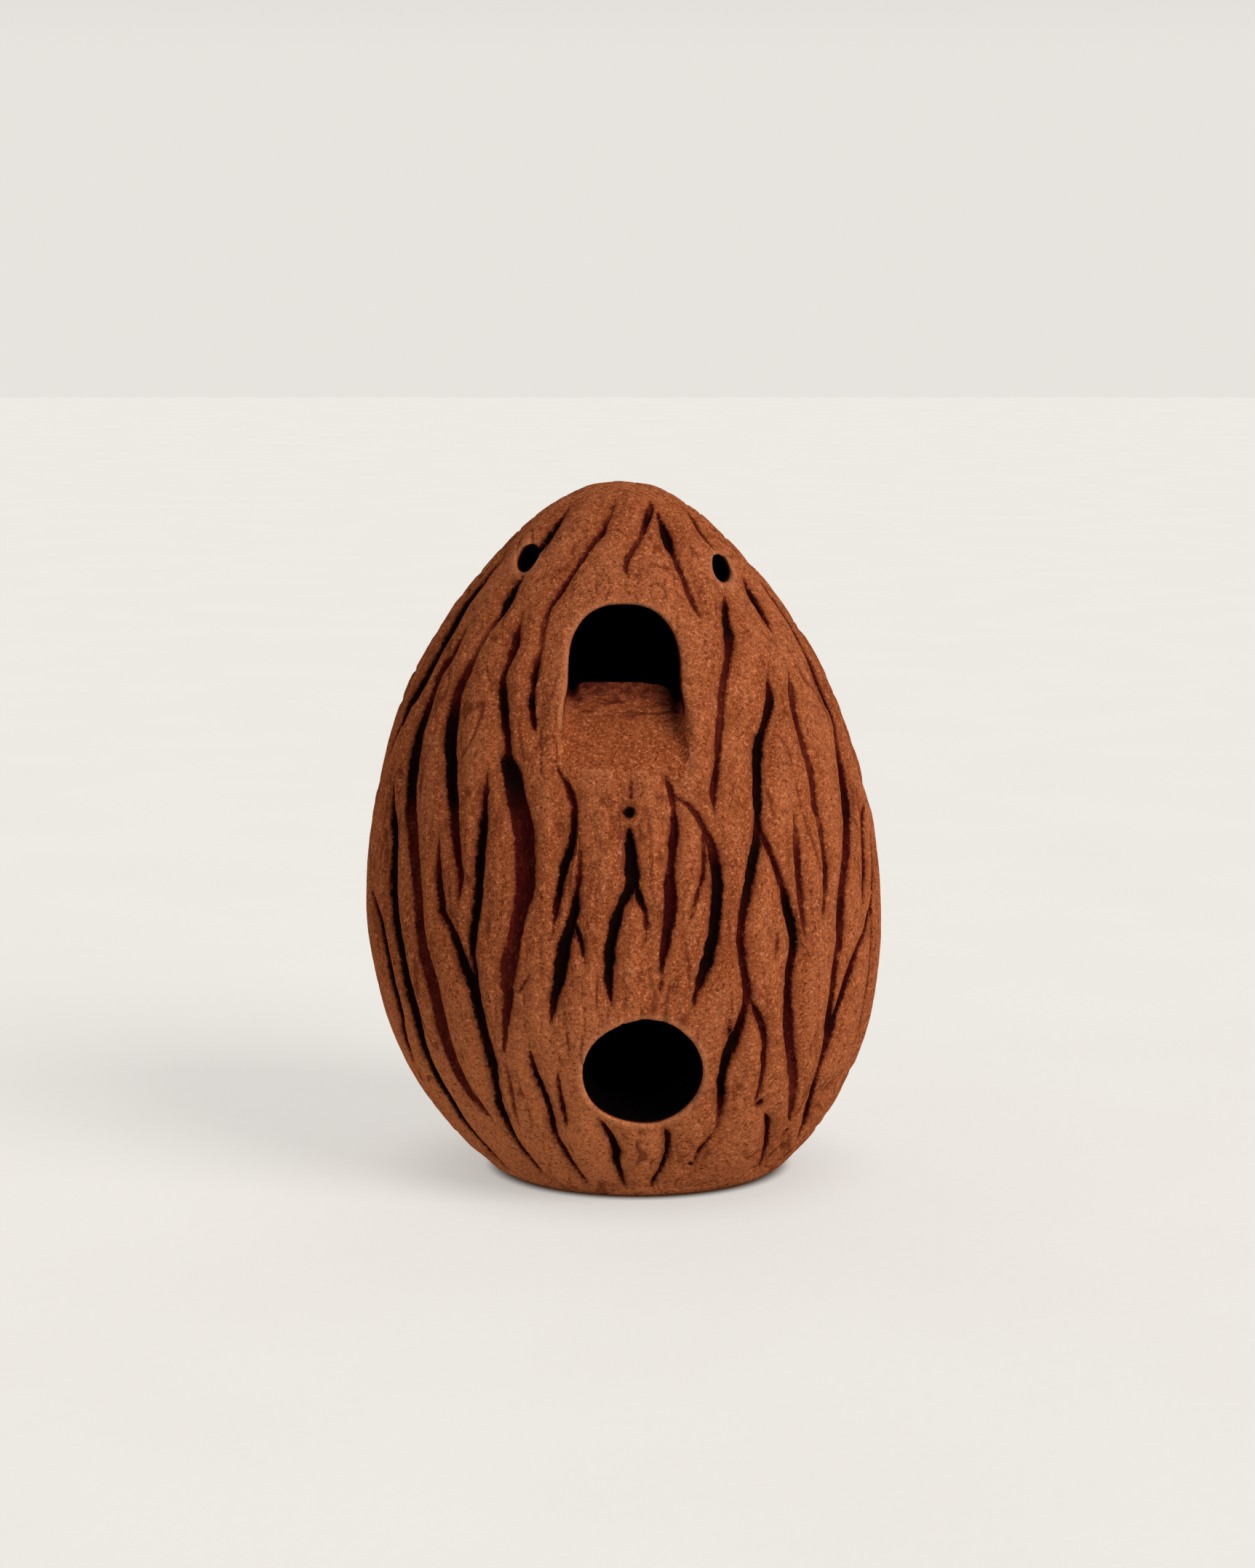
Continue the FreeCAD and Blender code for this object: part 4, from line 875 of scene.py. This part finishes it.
# =====================================================================================
# Materials
# =====================================================================================
class Nodes:
    def __init__(self, name):
        self.mat = bpy.data.materials.new(name)
        self.mat.use_nodes = True
        self.t = self.mat.node_tree
        self.t.nodes.clear()
        self.out = self.t.nodes.new("ShaderNodeOutputMaterial")
        self.b = self.t.nodes.new("ShaderNodeBsdfPrincipled")
        self.t.links.new(self.b.outputs[0], self.out.inputs[0])

    def put(self, sock, v):
        if isinstance(v, bpy.types.NodeSocket):
            self.t.links.new(v, sock)
        else:
            sock.default_value = v

    def math(self, op, a, b=0.0, c=0.0, clamp=False):
        n = self.t.nodes.new("ShaderNodeMath")
        n.operation = op
        n.use_clamp = clamp
        for s, v in zip(n.inputs, (a, b, c)):
            self.put(s, v)
        return n.outputs[0]

    def step(self, x, lo, hi, out0=0.0, out1=1.0):
        n = self.t.nodes.new("ShaderNodeMapRange")
        n.interpolation_type = "SMOOTHSTEP"
        for s, v in zip(n.inputs, (x, lo, hi, out0, out1)):
            self.put(s, v)
        return n.outputs[0]

    def attr(self, name):
        n = self.t.nodes.new("ShaderNodeAttribute")
        n.attribute_name = name
        return n.outputs["Fac"]

    def coords(self, scale=(1, 1, 1)):
        if not hasattr(self, "_c"):
            self._c = self.t.nodes.new("ShaderNodeTexCoord").outputs["Object"]
        n = self.t.nodes.new("ShaderNodeMapping")
        n.vector_type = "POINT"
        self.put(n.inputs["Vector"], self._c)
        n.inputs["Scale"].default_value = tuple(1000.0 * s for s in scale)
        return n.outputs[0]

    def noise(self, mm, detail=2.0, rough=0.5, scale=(1, 1, 1), offset=0.0, out="Fac"):
        n = self.t.nodes.new("ShaderNodeTexNoise")
        n.noise_dimensions = "4D"
        self.put(n.inputs["Vector"], self.coords(scale))
        n.inputs["W"].default_value = offset
        n.inputs["Scale"].default_value = 1.0 / mm
        n.inputs["Detail"].default_value = detail
        n.inputs["Roughness"].default_value = rough
        return n.outputs[out]

    def voronoi(self, mm, feature="F1", out="Distance", rnd=1.0):
        n = self.t.nodes.new("ShaderNodeTexVoronoi")
        n.feature = feature
        self.put(n.inputs["Vector"], self.coords())
        n.inputs["Scale"].default_value = 1.0 / mm
        n.inputs["Randomness"].default_value = rnd
        return n.outputs[out]

    def mix(self, fac, a, b, mode="MIX"):
        n = self.t.nodes.new("ShaderNodeMix")
        n.data_type = "RGBA"
        n.blend_type = mode
        n.clamp_factor = True
        self.put(n.inputs[0], fac)
        ins = [s for s in n.inputs if s.type == "RGBA"]
        for s, v in zip(ins, (a, b)):
            self.put(s, v if isinstance(v, bpy.types.NodeSocket) else (*v, 1.0))
        return [s for s in n.outputs if s.type == "RGBA"][0]

    def ramp(self, fac, stops):
        n = self.t.nodes.new("ShaderNodeValToRGB")
        cr = n.color_ramp
        while len(cr.elements) < len(stops):
            cr.elements.new(0.5)
        for e, (p, c) in zip(cr.elements, stops):
            e.position = p
            e.color = (*c, 1.0)
        self.put(n.inputs[0], fac)
        return n.outputs[0]

    def bump(self, h, dist_mm, strength, normal=None):
        n = self.t.nodes.new("ShaderNodeBump")
        n.inputs["Strength"].default_value = strength
        n.inputs["Distance"].default_value = dist_mm * 0.001
        self.put(n.inputs["Height"], h)
        if normal is not None:
            self.put(n.inputs["Normal"], normal)
        return n.outputs[0]


def clay_material(name, inside=False):
    N = Nodes(name)
    M = N.math
    broad = N.noise(17.0, 2.0, 0.5, offset=1.0)
    cloud = N.noise(4.2, 3.0, 0.55, scale=(1, 1, 0.55), offset=2.0)
    streak = N.noise(1.7, 3.0, 0.6, scale=(1, 1, 0.22), offset=3.0)
    fine = N.noise(0.62, 3.0, 0.65, offset=4.0)
    grain = N.noise(0.27, 2.0, 0.6, offset=5.0)
    col = N.ramp(cloud, [(0.25, (0.178, 0.043, 0.0130)), (0.48, (0.222, 0.058, 0.0182)), (0.72, (0.272, 0.079, 0.0265))])
    col = N.mix(N.step(broad, 0.30, 0.70, 0.0, 0.32), col, (0.280, 0.088, 0.032))
    col = N.mix(N.step(streak, 0.36, 0.66, 0.34, 0.0), col, (0.120, 0.027, 0.0085))
    if not inside:
        col = N.mix(M("MULTIPLY", N.attr("crest"), 0.42), col, (0.335, 0.127, 0.058))
        # painted light: lighter colour low down, most on the left, as painted bounce light from the floor
        col = N.mix(M("MULTIPLY", N.attr("low"), 0.80), col, (0.385, 0.140, 0.056))
    col = N.mix(N.step(fine, 0.52, 0.72, 0.0, 0.62), col, (0.094, 0.0200, 0.0066))
    col = N.mix(N.step(fine, 0.46, 0.28, 0.0, 0.50), col, (0.390, 0.145, 0.062))
    col = N.mix(N.step(grain, 0.54, 0.70, 0.0, 0.76), col, (0.520, 0.215, 0.105))
    col = N.mix(N.step(grain, 0.46, 0.30, 0.0, 0.80), col, (0.054, 0.0110, 0.0038))
    dust = N.noise(0.13, 1.0, 0.5, offset=15.0)
    col = N.mix(N.step(dust, 0.52, 0.68, 0.0, 0.40), col, (0.500, 0.210, 0.100))
    col = N.mix(N.step(dust, 0.48, 0.32, 0.0, 0.40), col, (0.060, 0.0120, 0.0042))
    sp = N.voronoi(1.9)
    pick = N.noise(3.1, 1.0, 0.5, offset=8.0)
    speck = M("MULTIPLY", N.step(sp, 0.13, 0.07), N.step(pick, 0.58, 0.66))
    col = N.mix(M("MULTIPLY", speck, 0.55), col, (0.42, 0.21, 0.12))
    sp2 = N.voronoi(1.35)
    pick2 = N.noise(2.3, 1.0, 0.5, offset=11.0)
    speck2 = M("MULTIPLY", N.step(sp2, 0.12, 0.06), N.step(pick2, 0.60, 0.68))
    col = N.mix(M("MULTIPLY", speck2, 0.6), col, (0.040, 0.012, 0.007))
    rough = N.step(cloud, 0.2, 0.8, 0.95, 0.86)
    col = N.mix(1.0, col, (0.915, 0.755, 0.665), "MULTIPLY")
    if not inside:
        edge, dark, painted_hole_shade, rim = N.attr("edge"), N.attr("dark"), N.attr("painted_hole_shade"), N.attr("rim")
        wob = N.math("MULTIPLY_ADD", N.noise(0.46, 4.0, 0.74, offset=6.0), 0.62, -0.31)
        e = M("ADD", edge, wob)
        # thin lips beside the cuts are painted a little paler as a painted highlight, and a brown halo of stain lies
        # over them in places
        painted_lip_highlight = M("MULTIPLY", N.step(edge, 0.9, 0.35), N.step(edge, 0.02, 0.28))
        col = N.mix(M("MULTIPLY", painted_lip_highlight, 0.14), col, (0.345, 0.120, 0.045))
        halo_n = N.noise(1.3, 3.0, 0.6, scale=(1, 1, 0.5), offset=7.0)
        halo = M("MULTIPLY", N.step(e, 0.70, 0.0), N.step(halo_n, 0.36, 0.66, 0.25, 1.0))
        halo = M("MULTIPLY", halo, N.step(dark, 0.05, 0.8))
        col = N.mix(M("MULTIPLY", halo, 0.74), col, (0.074, 0.0130, 0.0056))
        # faint brown lines of the bark between the cuts, and smudges where the stain was wiped off
        fl = M("MULTIPLY", N.attr("faint"), N.step(N.noise(1.1, 3.0, 0.6, scale=(1, 1, 0.4), offset=16.0), 0.38, 0.62, 0.1, 1.0))
        fl = N.step(fl, 0.10, 0.80)
        col = N.mix(M("MULTIPLY", fl, 0.72), col, (0.084, 0.0165, 0.0062))
        smudge = M("MULTIPLY", N.step(N.noise(2.6, 4.0, 0.65, scale=(1, 1, 0.6), offset=17.0), 0.54, 0.72), N.step(fine, 0.40, 0.60))
        col = N.mix(M("MULTIPLY", smudge, 0.42), col, (0.100, 0.0200, 0.0070))
        # painted shade on the ramp, under the edge and in its corners
        tn = M("MULTIPLY", N.attr("painted_ramp_shade"), N.step(N.noise(0.9, 3.0, 0.65, offset=19.0), 0.30, 0.62, 0.62, 1.0))
        col = N.mix(M("MULTIPLY", tn, 0.90), col, N.mix(N.step(tn, 0.45, 0.95), (0.090, 0.0165, 0.0085), (0.030, 0.0030, 0.0030)))
        tl = M("MULTIPLY", N.attr("tool"), N.step(N.noise(0.62, 2.0, 0.6, scale=(0.22, 0.8, 1.15), offset=18.0), 0.50, 0.57))
        col = N.mix(M("MULTIPLY", tl, 0.88), col, (0.050, 0.0085, 0.0042))
        inside_m = N.step(e, 0.11, -0.12)
        dk = M("ADD", dark, N.math("MULTIPLY_ADD", N.noise(0.9, 4.0, 0.66, scale=(1, 1, 0.55), offset=9.0), 0.66, -0.31))
        dk = M("SUBTRACT", dk, N.step(e, -0.15, 0.02, 0.0, 0.26))
        stain = N.ramp(dk, [(0.10, (0.125, 0.028, 0.010)), (0.38, (0.062, 0.0080, 0.0052)), (0.62, (0.028, 0.0021, 0.0024)), (0.86, (0.0052, 0.0015, 0.0015)), (1.0, (0.0018, 0.0010, 0.0010))])
        amount = M("MULTIPLY", inside_m, N.step(dk, -0.02, 0.42, 0.15, 0.98))
        amount = M("SUBTRACT", amount, M("MULTIPLY", N.step(grain, 0.52, 0.70, 0.0, 0.16), N.step(dk, 0.78, 0.55)), clamp=True)
        col = N.mix(amount, col, stain)
        # painted highlight: a paler ring painted round the rims of the holes and the window
        col = N.mix(M("MULTIPLY", rim, 0.26), col, (0.42, 0.17, 0.08))
        # painted shade: colour ramp from clay to near black for the insides of holes, window and chamber
        hn = M("ADD", painted_hole_shade, N.math("MULTIPLY_ADD", N.noise(0.5, 3.0, 0.6, offset=10.0), 0.16, -0.08))
        inner_c = N.ramp(hn, [(0.0, (0.19, 0.050, 0.017)), (0.28, (0.066, 0.012, 0.0065)), (0.58, (0.015, 0.0026, 0.0022)), (0.85, (0.0014, 0.0009, 0.0008))])
        col = N.mix(N.step(hn, 0.03, 0.35), col, inner_c)
    else:
        # painted shade: the hidden clay inside the chamber is painted near black
        col = N.mix(0.95, col, (0.0016, 0.0011, 0.0010))
    N.put(N.b.inputs["Base Color"], col)
    N.put(N.b.inputs["Roughness"], rough)
    N.b.inputs["IOR"].default_value = 1.45
    N.b.inputs["Specular IOR Level"].default_value = 0.0
    h1 = N.noise(0.33, 4.0, 0.62, offset=12.0)
    h2 = N.noise(1.5, 3.0, 0.55, scale=(1, 1, 0.4), offset=13.0)
    pit = N.step(N.voronoi(0.9), 0.16, 0.05, 0.0, -1.0)
    pitpick = N.step(N.noise(2.0, 1.0, 0.5, offset=14.0), 0.50, 0.60)
    nrm = N.bump(h2, 0.30, 0.55)
    nrm = N.bump(h1, 0.11, 0.75, nrm)
    nrm = N.bump(M("MULTIPLY", pit, pitpick), 0.07, 0.8, nrm)
    N.put(N.b.inputs["Normal"], nrm)
    return N.mat


clay = clay_material("terracotta_stained")
inner_clay = clay_material("terracotta_inner", inside=True)
for node, o in PIECES.items():
    o.data.materials.clear()
    o.data.materials.append(clay)
    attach(o, "root")
    for part in ((node, "window_cheek_left", "window_cheek_right") if node == "front_shell" else (node,)):
        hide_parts(part)
for node in ("seam_coil", "base_coil"):
    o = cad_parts[node]
    if not o.material_slots:
        o.data.materials.append(inner_clay)
    for s in o.material_slots:
        s.material = inner_clay

# =====================================================================================
# Floor and light
# =====================================================================================
def floor():
    n, half = 240, 2.2
    g = np.sign(np.linspace(-1, 1, n)) * np.abs(np.linspace(-1, 1, n)) ** 2.2 * half
    X, Y = np.meshgrid(g, g, indexing="ij")
    V = np.stack([X.ravel(), Y.ravel(), np.zeros(n * n)], 1)
    i = np.arange(n * n).reshape(n, n)
    F = np.stack([i[:-1, :-1].ravel(), i[1:, :-1].ravel(), i[1:, 1:].ravel(), i[:-1, 1:].ravel()], 1)
    o = mesh_object("floor", V / MM, F)
    N = Nodes("pale_paper")
    a = N.noise(30.0, 3.0, 0.5, offset=1.0)
    b = N.noise(1.2, 3.0, 0.6, offset=2.0)
    c = N.mix(N.step(a, 0.3, 0.7), (0.225, 0.217, 0.206), (0.235, 0.228, 0.218))
    c = N.mix(N.step(b, 0.35, 0.70, 0.0, 0.25), c, (0.215, 0.206, 0.196))
    N.put(N.b.inputs["Base Color"], c)
    N.b.inputs["Roughness"].default_value = 0.95
    N.b.inputs["Specular IOR Level"].default_value = 0.0
    # the sheet glows a little, painted light that keeps its shadows faint; the glow is painted dimmer round the object
    # as painted shade, and a dark ring round the foot is a painted contact shadow
    n = N.t.nodes.new("ShaderNodeVectorMath")
    n.operation = "LENGTH"
    N.put(n.inputs[0], N.coords((1, 1, 0)))
    glow = N.mix(N.step(n.outputs["Value"], 11.0, 27.0), (0.455, 0.435, 0.412), (0.585, 0.564, 0.535))
    off = N.t.nodes.new("ShaderNodeVectorMath")
    off.operation = "DISTANCE"
    N.put(off.inputs[0], N.coords((1, 1, 0)))
    off.inputs[1].default_value = (float(lean(0.0)), 0.0, 0.0)
    # painted contact shadow: a dark ring on the floor round the foot, in both the glow and the base colour
    foot = N.step(off.outputs["Value"], 13.3, 15.4)
    glow = N.mix(foot, (0.035, 0.024, 0.019), glow)
    N.put(N.b.inputs["Base Color"], N.mix(foot, (0.060, 0.045, 0.038), c))
    N.put(N.b.inputs["Emission Color"], glow)
    N.b.inputs["Emission Strength"].default_value = 1.0
    N.put(N.b.inputs["Normal"], N.bump(N.noise(1.6, 4.0, 0.6, offset=3.0), 0.20, 0.30))
    o.data.materials.append(N.mat)
    return o


floor()


def sun(name, azimuth, elevation, spread, strength, color):
    """A far, broad light: azimuth from -Y towards +X and elevation in degrees, spread is how wide it looks."""
    d = bpy.data.lights.new(name, "SUN")
    d.angle = math.radians(spread)
    d.energy = strength
    d.color = color
    o = bpy.data.objects.new(name, d)
    bpy.context.scene.collection.objects.link(o)
    az, el = math.radians(azimuth), math.radians(elevation)
    to = Vector((math.sin(az) * math.cos(el), -math.cos(az) * math.cos(el), math.sin(el)))
    o.location = to * 1.5
    o.rotation_euler = to.to_track_quat("Z", "Y").to_euler()
    return o


sun("key", 50.0, 33.0, 34.0, 3.5, (1.0, 0.978, 0.945))
sun("fill", -35.0, 12.0, 60.0, 0.28, (1.0, 0.985, 0.97))
sun("back", 190.0, 38.0, 70.0, 0.75, (1.0, 0.985, 0.965))

world = bpy.data.worlds.new("studio")
bpy.context.scene.world = world
world.use_nodes = True
wt = world.node_tree
wt.nodes.clear()
wo = wt.nodes.new("ShaderNodeOutputWorld")
wb = wt.nodes.new("ShaderNodeBackground")
tc = wt.nodes.new("ShaderNodeTexCoord")
sx = wt.nodes.new("ShaderNodeSeparateXYZ")
rp = wt.nodes.new("ShaderNodeValToRGB")
rp.color_ramp.elements[0].position = 0.06
rp.color_ramp.elements[0].color = (0.800, 0.770, 0.730, 1)
rp.color_ramp.elements[1].position = 0.30
rp.color_ramp.elements[1].color = (0.38, 0.38, 0.375, 1)
wt.links.new(tc.outputs["Generated"], sx.inputs[0])
wt.links.new(sx.outputs["Z"], rp.inputs[0])
wt.links.new(rp.outputs[0], wb.inputs["Color"])
wb.inputs["Strength"].default_value = 1.0
wt.links.new(wb.outputs[0], wo.inputs[0])

sc = bpy.context.scene
sc.view_settings.view_transform = "Standard"
sc.view_settings.look = "None"
sc.view_settings.exposure = 0.0
sc.view_settings.gamma = 1.0

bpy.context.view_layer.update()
print("total", round(time.time() - T0, 1))
